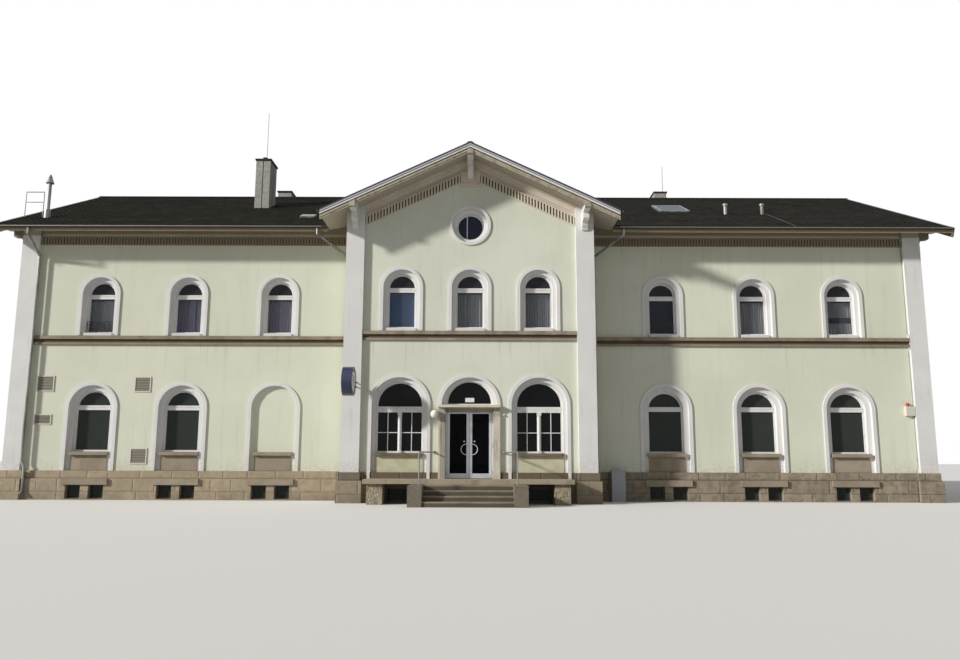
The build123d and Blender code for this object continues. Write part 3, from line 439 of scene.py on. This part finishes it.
edge_bay = (fall > C_EAVE - 0.01) * on_bay * (tiles.z < CROSS - PITCH_C * C_EAVE - 0.02) * (tiles.facing("Z") < 0.5)
tone = tiles.mix(edge_main.most(edge_bay), tone, tiles.mix(moss, srgb(178, 166, 134), srgb(150, 138, 110)))
tiles.wear(Base_Color=tone, Normal=tiles.bump(lichen + moss, 0.008, 0.6))
dress(tiles.material, "roof_main_front", "roof_main_rear", "roof_bays", "ridge_caps")


def piece(name, points, faces, material, body="building", smooth=False):
    """A mesh from its points and faces, which rides on a body."""
    mesh = bpy.data.meshes.new(name)
    mesh.from_pydata(np.asarray(points, float).reshape(-1, 3).tolist(), [], [list(map(int, f)) for f in faces])
    mesh.validate()
    mesh.update()
    if smooth:
        mesh.polygons.foreach_set("use_smooth", [True] * len(mesh.polygons))
    mesh.materials.append(material)
    made = bpy.data.objects.new(name, mesh)
    bpy.context.collection.objects.link(made)
    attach(made, body)
    return made


def grid_faces(rows, columns, closed=False, flip=False):
    """Four-cornered faces between neighbours on a grid of rows x columns points, where point (i, k) is number
    i columns + k. closed joins the last column to the first, and flip turns the faces over."""
    i, k = np.meshgrid(np.arange(rows - 1), np.arange(columns - (not closed)), indexing="ij")
    after = (k + 1) % columns
    corners = [i * columns + k, (i + 1) * columns + k, (i + 1) * columns + after, i * columns + after]
    if flip:
        corners = [corners[n] for n in (0, 3, 2, 1)]
    return np.stack(corners, -1).reshape(-1, 4)


def tile_sheet(name, first, last, rows, run, edge, place):
    """Points z = slope(d) + step + roll: d runs down the slope in steps, a across it. edge(d) gives the two ends of
    a row; columns beyond them are drawn in to the end, and faces that closes up are left out."""
    roll_at = np.array([0.0, 0.10, 0.20, 0.30, 0.95])
    roll_up = np.array([0.0, 0.009, 0.009, 0.0, -0.003])
    step_low, step_high, tuck = 0.006, 0.030, -0.02
    count = int((last - first) / TILE_W) + 1
    a = (first + TILE_W * (np.arange(count)[:, None] + roll_at)).ravel()
    roll = np.tile(roll_up, count)
    d = np.repeat(np.linspace(0.0, run, rows + 1), 2)[1:-1]
    step = np.tile([step_low, step_high], rows)
    d, step = np.append(d, d[-1]), np.append(step, tuck)
    lo, hi = edge(d)
    grid = np.clip(a[None, :], lo[:, None], hi[:, None])
    lift = step[:, None] + np.where((a > lo[:, None]) & (a < hi[:, None]), roll[None, :], 0.0)
    flat = place(grid, np.repeat(d[:, None], len(a), 1), lift).reshape(-1, 3)
    quads = grid_faces(len(d), len(a))
    a0, b0, b1, a1 = (flat[quads[:, k]] for k in range(4))
    wide = np.linalg.norm(a0 - a1, axis=1) + np.linalg.norm(b0 - b1, axis=1)
    return piece(name, flat, quads[wide > 1e-6], tiles.material)


def valley_x(d):
    """Half the width that the bay's roof takes out of the main slope, d out from the main ridge."""
    return np.clip((PITCH * d - (RIDGE - CROSS)) / PITCH_C, 0.0, C_EAVE)


SIDES, HANDS = ((-1, "front"), (1, "rear")), ((-1, "left"), (1, "right"))
MAIN_ROWS, BAY_ROWS, VALLEY_START = 27, 18, 2.2
for ys, side in SIDES:
    for xs, hand in HANDS:
        def main_slope(a, d, lift):
            """x = a and y = d, each on its own side, z = the main ridge less pitch times d, plus lift."""
            return np.stack([a * xs, d * ys, RIDGE - PITCH * d + lift], -1)

        def bay_slope(a, d, lift):
            """x = d and y = a, each on its own side, z = the bay's ridge less pitch times d, plus lift."""
            return np.stack([d * xs, a * ys, CROSS - PITCH_C * d + lift], -1)

        main = tile_sheet(f"tiles_{side}_{hand}", 0.0, VERGE, MAIN_ROWS, EAVE,
                          lambda d: (valley_x(d), np.full_like(d, VERGE)), main_slope)
        bay = tile_sheet(f"tiles_bay_{side}_{hand}", VALLEY_START, C_VERGE, BAY_ROWS, C_EAVE,
                         lambda d: ((RIDGE - CROSS + PITCH_C * d) / PITCH, np.full_like(d, C_VERGE)), bay_slope)
        (main if xs * ys > 0 else bay).data.flip_normals()


# Flashing on the verges: a strip of dark zinc bent over the tiles' edge. It is nailed to the roof boards, and its
# drip stands off the white verge board.
def turned_out(made):
    """Turns all faces of a closed mesh outwards."""
    mesh = bmesh.new()
    mesh.from_mesh(made.data)
    bmesh.ops.recalc_face_normals(mesh, faces=mesh.faces)
    mesh.to_mesh(made.data)
    mesh.free()
    return made


def strip(name, path, section, material):
    """A flat section carried along a straight path: corner k of the section at both ends, closed by side faces
    and by its two end caps. section holds offsets as world vectors."""
    path, section = np.asarray(path, float), np.asarray(section, float)
    points = (path[:, None, :] + section[None, :, :]).reshape(-1, 3)
    n, m = len(path), len(section)
    faces = [*grid_faces(n, m, closed=True, flip=True), np.arange(m)[::-1], np.arange((n - 1) * m, n * m)]
    return turned_out(piece(name, points, faces, material))


def below_roof(finish):
    """Height over the slab's upper plane, less than 0 under it: that of the bays' roofs within 6 m of the middle,
    and of the main roof beyond."""
    main = finish.z - RIDGE + PITCH * abs(finish.y)
    return main + (finish.z - CROSS + PITCH_C * abs(finish.x) - main) * (abs(finish.x) < 6.0)


lead = Finish("verge_zinc", Roughness=0.5, Metallic=0.4)
tone = lead.mix(lead.noise(2.5, 4.0), srgb(34, 38, 46), srgb(62, 68, 78))
OFF_BOARD, PAINTED_SHEEN_BAND = 0.045, (-0.098, -0.050)
# The light band on the flashing's bent edge is a painted sheen.
lead.wear(Base_Color=lead.mix(below_roof(lead).between(*PAINTED_SHEEN_BAND), tone, srgb(172, 174, 178)))


def bent_over(out, width):
    """The flashing's section: out is the way out of the roof, width how far it lies on the tiles."""
    across = np.array([0.012, 0.012, -width, -width, 0.0, 0.0])[:, None] * np.array(out)
    return across + np.array([-0.115, 0.020, 0.046, 0.036, 0.010, -0.115])[:, None] * np.array([0, 0, 1])


for sy, side in SIDES:
    for sx, hand in HANDS:
        y = sy * (C_VERGE + OFF_BOARD)
        strip(f"verge_zinc_bay_{side}_{hand}", [(0, y, CROSS), (sx * C_EAVE, y, CROSS - PITCH_C * C_EAVE)],
              bent_over((0, sy, 0), 0.30), lead.material)
        x = sx * (VERGE + OFF_BOARD)
        strip(f"verge_zinc_end_{side}_{hand}", [(x, 0, RIDGE), (x, sy * EAVE, RIDGE - PITCH * EAVE)],
              bent_over((sx, 0, 0), 0.20), lead.material)

# Verge boards and stepped brackets: planed pine, painted white and nailed on in three steps. The paint has greyed.
# A painted shadow runs under the upper board's step, and the feet near the gutters are painted dark as shade.
BOARD_DEEP, LOWER_STEP, STEP_SHADE = 0.10, -0.19, (-0.232, -0.186)
BRACKET_X, FOOT_Y, FOOT_DEEP, GUTTER_END_Y = 17.66, 6.9, -0.20, 7.9
paint = Finish("painted_timber", Roughness=0.55)
grain = paint.noise(1.0, 5.0, 0.6, paint.vector(paint.x * 3.0, paint.y * 3.0, paint.z * 30.0))
dirt = paint.noise(5.0, 5.0)
below = below_roof(paint)
tone = paint.mix(dirt.step(0.5, 0.75) * 0.5, srgb(222, 220, 215), srgb(160, 152, 138))
board = (abs(paint.y) > C_VERGE - BOARD_DEEP).most(abs(paint.x) > VERGE - BOARD_DEEP)
lower = paint.mix(dirt.step(0.4, 0.7), srgb(172, 163, 146), srgb(140, 131, 114))
tone = paint.mix(board * (below < LOWER_STEP), tone, lower)
# Painted shadow under the upper board's step.
tone = paint.mix(board * below.between(*STEP_SHADE), tone, srgb(70, 64, 58))
# The brackets' feet and the verge ends near the gutters are painted dark as shade.
feet = ((abs(paint.y) > FOOT_Y) * (below < FOOT_DEEP)).most(abs(paint.y) > GUTTER_END_Y)
tone = paint.mix((abs(paint.x) > BRACKET_X) * feet * 0.85, tone, srgb(96, 86, 68))
dress(paint.wear(Base_Color=tone, Normal=paint.bump(grain, 0.002, 0.3)), "verge_boards", "verge_brackets")

# Gutters, downpipes, flue, vents, rods and roof windows: zinc sheet, dull and streaked. The gutters are half-round
# troughs under a zinc-grey bead, their troughs painted dark as shade, and the large roof window has a grey pane.
PANE_X, PANE_Y = (8.24, 9.34), (-4.52, -3.02)
GUTTER_Y, GUTTER_Z, BEAD_Z, BAY_RISE, BAY_GUTTER_X = 8.33, 10.22, 10.296, 0.176, 5.7
zinc = Finish("zinc", Roughness=0.5, Metallic=0.6)
streak = zinc.drawn(4.0, 0.6)
tone = zinc.mix(streak.step(0.35, 0.7), srgb(150, 152, 150), srgb(108, 108, 104))
roof_pane = (zinc.facing("Z") > 0.5) * zinc.x.between(*PANE_X) * zinc.y.between(*PANE_Y)
tone = zinc.mix(roof_pane, tone, srgb(70, 80, 94))
gutter = (abs(zinc.y) > GUTTER_Y) * (zinc.z > GUTTER_Z)
bead = zinc.z > BEAD_Z + BAY_RISE * (abs(zinc.x) < BAY_GUTTER_X)
rim = zinc.mix(streak, srgb(150, 146, 142), srgb(120, 114, 110))
# The gutter trough below the bead is painted dark as shade.
tone = zinc.mix(gutter, tone, zinc.mix(bead, srgb(64, 59, 56), rim))
dress(zinc.wear(Base_Color=tone, Roughness=0.4 + 0.3 * streak), "rainwater_goods", "roof_fittings")


# Gutter brackets and pipe clips: bent zinc straps, every 0.8 m under the gutters and about every metre on the
# downpipes. The brackets are nailed to the rafters' ends and the clips driven into the wall.
def rings(name, centres, axes, radius, thick, sweep, around=14, across=6):
    """Bent rods: each is part of a circle about its centre in the plane of two axes, c + r(cos t a + sin t b), with
    a round section of radius thick about that line. sweep holds the two ends of t."""
    t = np.linspace(*sweep, around)[:, None, None]
    q = np.linspace(0, 2 * math.pi, across, endpoint=False)[None, :, None]
    a, b = np.array(axes, float)
    rod = (radius + thick * np.cos(q)) * (np.cos(t) * a + np.sin(t) * b) + thick * np.sin(q) * np.cross(a, b)
    points = np.array(centres, float)[:, None, None, :] + rod
    size = around * across
    shell = [*grid_faces(around, across, closed=True), np.arange(across), np.arange(size - across, size)[::-1]]
    faces = [number * size + face for number in range(len(centres)) for face in shell]
    return piece(name, points, faces, zinc.material, smooth=True)


Z_GUT, Y_GUT = RIDGE - PITCH * EAVE - 0.02, EAVE + 0.062
BRACKETS = np.concatenate([np.arange(-18.2, -5.6, 0.8), np.arange(5.75, 18.3, 0.8)])
hang = [(x, sy * Y_GUT, Z_GUT - 0.022) for sy in (-1, 1) for x in BRACKETS]
rings("gutter_brackets", hang, ((0, 1, 0), (0, 0, -1)), 0.066, 0.006, (0, math.pi))
PIPE_Y, PIPES, CLIPS = 7.485, (-16.894, -4.822, 4.822), np.arange(1.75, 9.3, 0.93)
clips = [(-sy * x, sy * PIPE_Y, z) for sy in (-1, 1) for x in PIPES for z in CLIPS]
rings("pipe_clips", clips, ((1, 0, 0), (0, 1, 0)), 0.052, 0.007, (0, 2 * math.pi))

# Chimneys: brick stacks clad with small fibre-cement slates, which are nailed to battens in half bond, under a
# dark sheet cap. A dark seam runs up the large stack's faces.
CAP_Z, SEAM_X, SEAM_Y, HALF_SEAM = 14.72, -9.379, -3.17, 0.022
clad = Finish("chimney_cladding", Roughness=0.9)
slates = clad.node("TexBrick", {"offset": 0.5}, {
    "Vector": clad.vector(clad.x + clad.y, clad.z), "Mortar": (0, 0, 0, 1),
    "Color1": (0.25, 0.25, 0.25, 1), "Color2": (0.75, 0.75, 0.75, 1),
    "Scale": 1.0, "Mortar Size": 0.006, "Brick Width": 0.20, "Row Height": 0.11})
patch = clad.noise(6.0, 5.0)
tone = clad.mix(slates, srgb(158, 157, 152), srgb(182, 181, 176))
tone = clad.mix(patch.step(0.45, 0.7) * 0.5, tone, srgb(122, 121, 116))
tone = clad.mix(clad.noise(19.0, 5.0, 0.75).step(0.5, 0.68) * 0.5, tone, srgb(98, 92, 82))
seam = ((abs(clad.x - SEAM_X) < HALF_SEAM) * (abs(clad.facing("Y")) > 0.5)
        + (abs(clad.y - SEAM_Y) < HALF_SEAM) * (abs(clad.facing("X")) > 0.5))
tone = clad.mix(seam * (clad.x < 0) * (clad.y < 0), tone, srgb(58, 56, 54))
tone = clad.mix(clad.z > CAP_Z, tone, srgb(52, 48, 46))
dress(clad.wear(Base_Color=tone, Normal=clad.bump(slates, 0.01, 0.6)), "chimneys")

# Window frames: timber casements with a cross rail below the arch, painted white and set in the stepped openings.
# The small frames of the cellar windows are bare and dark.
CELLAR_Z = 0.62
joinery = Finish("window_paint", Roughness=0.45)
dirt = joinery.noise(6.0, 5.0)
tone = joinery.mix(dirt.step(0.5, 0.75) * 0.4, srgb(220, 220, 219), srgb(176, 173, 167))
tone = joinery.mix(joinery.z < CELLAR_Z, tone, srgb(70, 62, 54))
dress(joinery.wear(Base_Color=tone, Normal=joinery.bump(dirt, 0.001, 0.2)), "window_frames")

# Window glass: old drawn panes, slightly wavy and dusty, puttied in behind the bars. Those of the front's upper
# storey let the curtains show and are tinted blue-grey as a painted sky reflection; the dark rooms behind the
# others make them nearly black.
UPPER_Z, ARCH_Z, ROUND_Z, GROUND_TOP = 6.2, 7.75, 9.5, 5.0
pane = Finish("window_glass", Roughness=0.04, Specular_IOR_Level=0.13)
wave = pane.noise(1.6, 2.0)
dust = pane.noise(7.0, 6.0, 0.7)
tone = pane.mix(dust.step(0.5, 0.8) * 0.4, srgb(9, 11, 14), srgb(24, 27, 30))
upstairs = (pane.z > UPPER_Z) * (pane.z < ARCH_Z) * (pane.y < 0)
# The front's upper panes get a painted blue-grey sky reflection.
tone = pane.mix(upstairs, tone, srgb(98, 104, 118))
tone = pane.mix((pane.z > ARCH_Z) * (pane.y < 0), tone, srgb(46, 47, 53))
tone = pane.mix(pane.z > ROUND_Z, tone, srgb(30, 37, 62))
tone = pane.mix((abs(pane.y) < WING_Y) * (pane.z < GROUND_TOP) * 0.7, tone, srgb(60, 66, 62))
dress(pane.wear(Base_Color=tone, Alpha=0.84 + 0.08 * dust - 0.66 * upstairs, Normal=pane.bump(wave, 0.004, 0.15)),
      "window_glass")

# Entrance door: frame and leaves of extruded aluminium, brushed and clear anodised, with dark glass held by beads.
# The pulls are half rings of bent tube, bolted through the middle stiles.
smoked = Finish("smoked_glass", Roughness=0.03, Specular_IOR_Level=0.04)
dust = smoked.noise(5.0, 5.0)
tone = smoked.mix(dust.step(0.45, 0.8) * 0.4, srgb(3, 4, 9), srgb(10, 12, 18))
dress(smoked.wear(Base_Color=tone, Alpha=0.86 + 0.08 * dust), "door_glass_left", "door_glass_right")
alu = Finish("door_aluminium", Metallic=0.35, Roughness=0.4)
brush = alu.drawn(200.0, 4.0, 3.0, 0.5)
tone = alu.mix(brush, srgb(188, 191, 199), srgb(206, 208, 214))
dress(alu.wear(Base_Color=tone, Roughness=0.32 + 0.16 * brush),
      "door_frame", "door_leaf_left", "door_leaf_right", "rear_door")


# Lock roses: two small turned discs of steel, screwed to the leaves beside the pulls. Their rims are rounded,
# and they swing with the leaves.
def fan(turn, tip):
    """Triangles from the sides of a ring, whose points are the first turn numbers, to the point number tip."""
    k = np.arange(turn)
    return np.stack([k, (k + 1) % turn, np.full(turn, tip)], -1)


ROSE_X, ROSE_Y, ROSE_Z, ROSE_TURN = 0.190, -8.411, 2.195, 20
ROSE_PROFILE = np.array([[0.022, 0.026], [0.027, 0.020], [0.030, 0.012], [0.030, 0.0]])
rose = Finish("lock_rose", Metallic=0.8, Roughness=0.25)
rose.wear(Base_Color=rose.mix(rose.noise(30.0), srgb(224, 224, 226), srgb(190, 190, 192)))
t = np.linspace(0, 2 * math.pi, ROSE_TURN, endpoint=False)
out, up = ROSE_PROFILE[:, 0, None], ROSE_PROFILE[:, 1, None]
for sx, hand in HANDS:
    rim = np.stack([sx * ROSE_X + out * np.cos(t), ROSE_Y - up + 0 * t, ROSE_Z + out * np.sin(t)], -1)
    rim = rim.reshape(-1, 3)
    tip = len(rim)
    faces = [*grid_faces(len(ROSE_PROFILE), ROSE_TURN, closed=True), *fan(ROSE_TURN, tip),
             np.arange(tip - ROSE_TURN, tip)]
    turned_out(piece(f"lock_rose_{hand}", [*rim, (sx * ROSE_X, ROSE_Y - ROSE_PROFILE[0, 1], ROSE_Z)], faces,
                     rose.material, f"leaf_{hand}", smooth=True))

# A small blank plate of white enamelled steel, stuck low on the fan light over the door.
# Its outline is a rectangle with four rounded corners.
PLATE_X, PLATE_Y, PLATE_Z, PLATE_THICK, CORNER = 0.008, -8.508, 3.702, 0.005, 0.020
plate = Finish("enamel_plate", Roughness=0.3)
worn = plate.noise(9.0, 4.0).step(0.45, 0.75)
plate.wear(Base_Color=plate.mix(worn * 0.5, srgb(226, 226, 222), srgb(190, 188, 182)))
t = np.linspace(0, 2 * math.pi, 33)[:-1]
across = PLATE_X + 0.145 * np.sign(np.cos(t + 0.01)) + CORNER * np.cos(t)
upright = PLATE_Z + 0.058 * np.sign(np.sin(t + 0.01)) + CORNER * np.sin(t)
strip("fanlight_plate", [(0, PLATE_Y, 0), (0, PLATE_Y - PLATE_THICK, 0)], np.stack([across, 0 * t, upright], -1),
      plate.material)

# Handrails beside the steps: bent and welded steel tube, hot-dip galvanised, let into the terrace slabs.
# The zinc has gone dull and mottled.
steel = Finish("galvanised_steel", Metallic=0.5, Roughness=0.45)
dull = steel.noise(12.0, 4.0)
tone = steel.mix(dull, srgb(150, 152, 152), srgb(120, 120, 118))
dress(steel.wear(Base_Color=tone, Roughness=0.4 + 0.2 * dull), "handrails")

# Small fittings screwed to the front: louvred vents of painted sheet on the left wing, a grey cabinet beside the
# bay on the right, and an alarm box with its red lamp at the right end.
LOUVRE, VENT_FRAME_Y, ALARM_LAMP_Z = 0.105, -7.322, 3.592
VENTS_X, CABINET_X, ALARM_X = -12.0, (5.0, 6.0), 16.0
fit = Finish("fittings_paint", Roughness=0.55)
dull = fit.noise(9.0, 4.0)
tone = fit.mix(dull.step(0.4, 0.7), srgb(140, 138, 128), srgb(122, 120, 112))
# Each louvre is painted darker towards its top as shade under the one above.
slat = fit.mix((fit.z / LOUVRE).fraction().step(0.55, 0.9), srgb(136, 129, 116), srgb(98, 92, 82))
vent = fit.mix(fit.y < VENT_FRAME_Y, slat, srgb(208, 207, 198))
tone = fit.mix(fit.x < VENTS_X, tone, vent)
tone = fit.mix(fit.x > ALARM_X, tone, srgb(206, 202, 192))
tone = fit.mix((fit.x > ALARM_X) * (fit.z > ALARM_LAMP_Z), tone, srgb(176, 36, 28))
tone = fit.mix(fit.x.between(*CABINET_X), tone, srgb(160, 164, 172))
dress(fit.wear(Base_Color=tone, Normal=fit.bump(dull, 0.001, 0.2)), "wall_fittings")

# Lamps: an opal glass globe on a short arm at the left of the door, sooty in patches; at the right only the
# holder is left.
opal = Finish("lamp_glass", Roughness=0.25)
soot = opal.noise(8.0, 4.0).step(0.5, 0.8) * 0.3
dress(opal.wear(Base_Color=opal.mix(soot, srgb(226, 224, 216), srgb(176, 170, 158))), "lamps")

# Station clock: a round sheet-steel drum, enamelled dark blue, on two arms that are screwed to the bay's wall with
# a plate. The enamel has faded in patches.
ARMS_X = -4.05
enamel = Finish("clock_enamel", Roughness=0.3, Coat_Weight=0.4)
faded = enamel.noise(3.0, 4.0)
tone = enamel.mix(faded.step(0.5, 0.8) * 0.5, srgb(24, 34, 74), srgb(58, 66, 102))
dress(enamel.wear(Base_Color=enamel.mix(enamel.x > ARMS_X, tone, srgb(200, 200, 198))), "station_clock")

# Dials: enamelled white discs let into both ends of the drum, with plain bars for hours and minutes.
# The two hands are black sheet steel.
CLOCK_X, CLOCK_Y, CLOCK_Z, HALF_DRUM, DIAL, DIAL_TURN = -4.265, -9.72, 4.27, 0.1715, 0.463, 48
HOUR_HAND, MINUTE_HAND = (318, -0.06, 0.25, 0.018), (132, -0.08, 0.38, 0.012)
dial_white = Finish("dial_white", Roughness=0.35)
yellowed = dial_white.noise(4.0).step(0.5, 0.8) * 0.3
dial_white.wear(Base_Color=dial_white.mix(yellowed, srgb(232, 232, 228), srgb(204, 202, 194)))
dial_black = Finish("dial_black", Roughness=0.4)
dial_black.wear(Base_Color=dial_black.mix(dial_black.noise(20.0), srgb(20, 20, 22), srgb(34, 34, 36)))


def bars(spec):
    """Rectangles (angle, inner, outer, half width), which lie like hours from twelve o'clock: the ray at that angle
    from inner to outer, less and plus its normal times the half width. Gives two-number corners."""
    angle, inner, outer, half = np.array(spec, float).T[:, :, None]
    a = np.radians(90 - angle)
    ray, side = np.append(np.cos(a), np.sin(a), 1), np.append(-np.sin(a), np.cos(a), 1) * half
    corners = [ray * inner - side, ray * outer - side, ray * outer + side, ray * inner + side]
    return np.stack(corners, 1).reshape(-1, 2)


hours = [(h * 30, 0.33, 0.43, 0.016 if h % 3 else 0.024) for h in range(12)]
minutes = [(m * 6, 0.405, 0.43, 0.004) for m in range(60) if m % 5]
marks = bars([*hours, *minutes, HOUR_HAND, MINUTE_HAND])
t = np.linspace(0, 2 * math.pi, DIAL_TURN, endpoint=False)
rim = np.stack([np.cos(t) * DIAL, np.sin(t) * DIAL], -1)
for sx, hand in HANDS:
    def on_dial(flat, lift):
        """Two-number points of the dial in the building's frame, lifted off its face."""
        x = np.full(len(flat), CLOCK_X + sx * (HALF_DRUM + lift))
        return np.stack([x, CLOCK_Y + sx * flat[:, 0], CLOCK_Z + flat[:, 1]], -1)

    piece(f"clock_dial_{hand}", on_dial(np.append(rim, [[0, 0]], 0), 0.0), fan(DIAL_TURN, DIAL_TURN),
          dial_white.material)
    quads = np.arange(len(marks)).reshape(-1, 4)
    after, under = np.roll(quads, -1, 1), quads + len(marks)
    edges = np.stack([quads, after, after + len(marks), under], -1).reshape(-1, 4)
    turned_out(piece(f"clock_marks_{hand}", np.append(on_dial(marks, 0.006), on_dial(marks, 0.0005), 0),
                     [*quads, *under[:, ::-1], *edges], dial_black.material))

# Curtains behind the upper windows: thin gathered nylon nets, lilac ones in the left wing and one blue roller
# blind, on rods of painted steel. Each window has them its own way.
net = Finish("net_curtain", Roughness=0.9)
thread = net.drawn(90.0, 3.0, 3.0)
net.wear(Base_Color=net.mix(thread, srgb(206, 208, 206), srgb(150, 154, 156)), Alpha=0.62 + 0.35 * thread)
lilac = Finish("lilac_curtain", Roughness=0.9)
lilac.wear(Base_Color=lilac.mix(lilac.drawn(60.0, 4.0, 3.0), srgb(176, 162, 190), srgb(124, 112, 138)))
shade = Finish("roller_blind", Roughness=0.85)
cloth = shade.noise(1.0, 3.0, 0.6, shade.vector(shade.x * 6.0, shade.y, shade.z * 160.0))
fade = shade.noise(1.4, 2.0).step(0.35, 0.65) * 0.3
tone = shade.mix(cloth, srgb(62, 106, 160), srgb(54, 96, 148))
shade.wear(Base_Color=shade.mix(fade, tone, srgb(70, 104, 140)))
rod_paint = Finish("curtain_rod", Roughness=0.4)
rod_paint.wear(Base_Color=rod_paint.mix(rod_paint.noise(10.0), srgb(220, 218, 210), srgb(190, 186, 176)))
BAY_FACE, WING_FACE, CURTAIN_BACK, HALF_ROD, ROD = -8.78, -7.30, 0.44, 0.535, 0.009


def wires(name, lines, radius, material, sides=6):
    """Round rods along open lines: each point of a line gets a ring, radius times (cos a u + sin a w), where u
    and w are square to the line and to each other."""
    points, faces, base = [], [], 0
    a = np.linspace(0, 2 * math.pi, sides, endpoint=False)[None, :, None]
    for line in lines:
        line = np.asarray(line, float)
        ray = np.gradient(line, axis=0)
        ray /= np.linalg.norm(ray, axis=1)[:, None]
        u = np.where(np.abs(ray[:, 1:2]) > 0.99, [1.0, 0.0, 0.0], [0.0, 1.0, 0.0])
        w = np.cross(ray, u)
        w /= np.linalg.norm(w, axis=1)[:, None]
        u = np.cross(w, ray)
        ring = np.cos(a) * u[:, None, :] + np.sin(a) * w[:, None, :]
        points.append((line[:, None, :] + radius * ring).reshape(-1, 3))
        last = base + (len(line) - 1) * sides
        faces += [*base + grid_faces(len(line), sides, closed=True),
                  np.arange(base, base + sides), np.arange(last, last + sides)[::-1]]
        base = last + sides
    return turned_out(piece(name, np.concatenate(points), faces, material, smooth=True))


def curtain(name, x, face, low, high, left, right, folds, deep, cloth, seed):
    """Gathered cloth: across runs from left to right of x, y = back + deep sin(2 pi folds u + drift), and the folds
    open a little towards the hem. The cut width is the length of that wave at half height."""
    u, v = np.linspace(0, 1, folds * 12 + 1), np.linspace(0, 1, 15)
    wander = np.random.default_rng(seed).uniform(-0.9, 0.9, 6)
    drift = sum(w * np.sin((k + 1) * 3.1 * u) for k, w in enumerate(wander))[None, :]
    uu, vv = np.meshgrid(u, v)
    wave = np.sin(2 * math.pi * folds * uu + drift * (1 + 0.15 * vv))
    y = face + CURTAIN_BACK + deep * (0.75 + 0.25 * (1 - vv)) * wave
    points = np.stack([x + left + (right - left) * uu, y, low + (high - low) * vv], -1)
    made = piece(name, points, grid_faces(len(v), len(u), flip=True), cloth.material, smooth=True)
    ends = [(x + side * HALF_ROD, face + CURTAIN_BACK, high) for side in (-1, 1)]
    rod = wires(name + "_rod", [ends], ROD, rod_paint.material)


curtain("blind_bay_left", -2.545, BAY_FACE, 6.42, 7.70, -0.52, 0.52, 1, 0.004, shade, 11)
curtain("curtain_bay_middle", 0.0, BAY_FACE, 6.44, 7.68, -0.52, 0.52, 9, 0.035, net, 3)
curtain("curtain_bay_right", 2.545, BAY_FACE, 6.42, 7.68, -0.52, 0.52, 11, 0.030, net, 4)
curtain("curtain_left_1", -14.48, WING_FACE, 6.42, 7.68, -0.52, 0.52, 10, 0.032, net, 5)
curtain("curtain_left_2_left", -11.05, WING_FACE, 6.42, 7.70, -0.52, 0.16, 8, 0.035, lilac, 6)
curtain("curtain_left_2_right", -11.05, WING_FACE, 6.42, 7.70, 0.24, 0.52, 4, 0.035, lilac, 7)
curtain("curtain_left_3", -7.49, WING_FACE, 6.42, 7.68, -0.52, 0.52, 8, 0.028, lilac, 12)
curtain("curtain_right_2", 11.05, WING_FACE, 6.42, 7.66, -0.52, 0.52, 11, 0.030, net, 8)
curtain("curtain_right_3_high", 14.48, WING_FACE, 7.10, 7.68, -0.52, 0.52, 12, 0.026, net, 9)
curtain("curtain_right_3_low", 14.48, WING_FACE, 6.42, 6.86, -0.52, 0.52, 12, 0.026, net, 10)

# Guard in the left wing's first upper window: scrolls of round iron between two rails, painted black.
# The rails are let into the window's jambs, and the scrolls riveted between them in mirrored pairs.
iron = Finish("guard_iron", Roughness=0.5, Metallic=0.3)
iron.wear(Base_Color=iron.mix(iron.noise(14.0), srgb(14, 14, 15), srgb(40, 38, 36)))
GUARD_X, GUARD_Y, HALF_GUARD, RAILS = -14.48, WING_FACE + 0.16, 0.688, (6.44, 6.80)
SCROLL, TURNS, PAIRS, FIRST, APART, SCROLL_LOW, SCROLL_HIGH = 0.085, 1.4, 6, -0.575, 0.23, 6.53, 6.70


def scroll(x, z, start, hand):
    """An Archimedes spiral in the window's plane: the radius falls evenly from its full size to a fifth of it over
    the turns."""
    t = np.linspace(0, 1, 34)
    angle = start + hand * 2 * math.pi * TURNS * t
    r = SCROLL * (1 - 0.8 * t)
    return np.stack([x + r * np.cos(angle), np.full_like(t, GUARD_Y), z + r * np.sin(angle)], -1)


lines = [[(GUARD_X + k * HALF_GUARD, GUARD_Y, rail) for k in (-1, 0, 1)] for rail in RAILS]
for k in range(PAIRS):
    cx, hand = GUARD_X + FIRST + k * APART, 1 if k % 2 else -1
    lines += [scroll(cx, SCROLL_LOW, math.pi / 2, hand), scroll(cx, SCROLL_HIGH, -math.pi / 2, -hand)]
wires("window_guard", lines, 0.012, iron.material)

# Lightning conductors: round steel rods, down the right pilaster's edge and down the roof from the second vent,
# held off the wall on short studs.
galv = Finish("conductor_rod", Roughness=0.5, Metallic=0.5)
galv.wear(Base_Color=galv.mix(galv.noise(6.0), srgb(120, 116, 108), srgb(84, 80, 74)))
ROD_X, ROD_Y, OUT_Y, VENT_X, OVER_TILES = 16.93, -7.33, -7.45, 12.43, 0.07
wall_line = [(ROD_X, -7.47, 10.05), (ROD_X, ROD_Y, 9.75), (ROD_X, ROD_Y, 6.42), (ROD_X, OUT_Y, 6.30),
             (ROD_X, OUT_Y, 5.82), (ROD_X, ROD_Y, 5.70), (ROD_X, ROD_Y, 1.32),
             (16.80, -7.44, 1.10), (16.80, -7.44, 0.02)]
roof_line = [*((VENT_X, -d, RIDGE - PITCH * d + OVER_TILES) for d in (5.3, 8.2)), (VENT_X, -8.44, Z_GUT + 0.02)]
studs = [[(ROD_X, y, z) for y in (-7.29, -7.30, -7.335)] for z in np.arange(1.6, 9.6, 0.98)]
wires("conductor", [wall_line, roof_line, *studs], 0.008, galv.material)

# Floors inside: plain screed on the floor slabs, with patches from old repairs. They are seen only through the
# windows and the open door.
screed = Finish("screed", Roughness=0.9)
tone = screed.mix(screed.noise(1.5, 4.0), srgb(120, 116, 108), srgb(98, 94, 88))
dress(screed.wear(Base_Color=tone), "floor_ground", "floor_upper", "floor_attic")
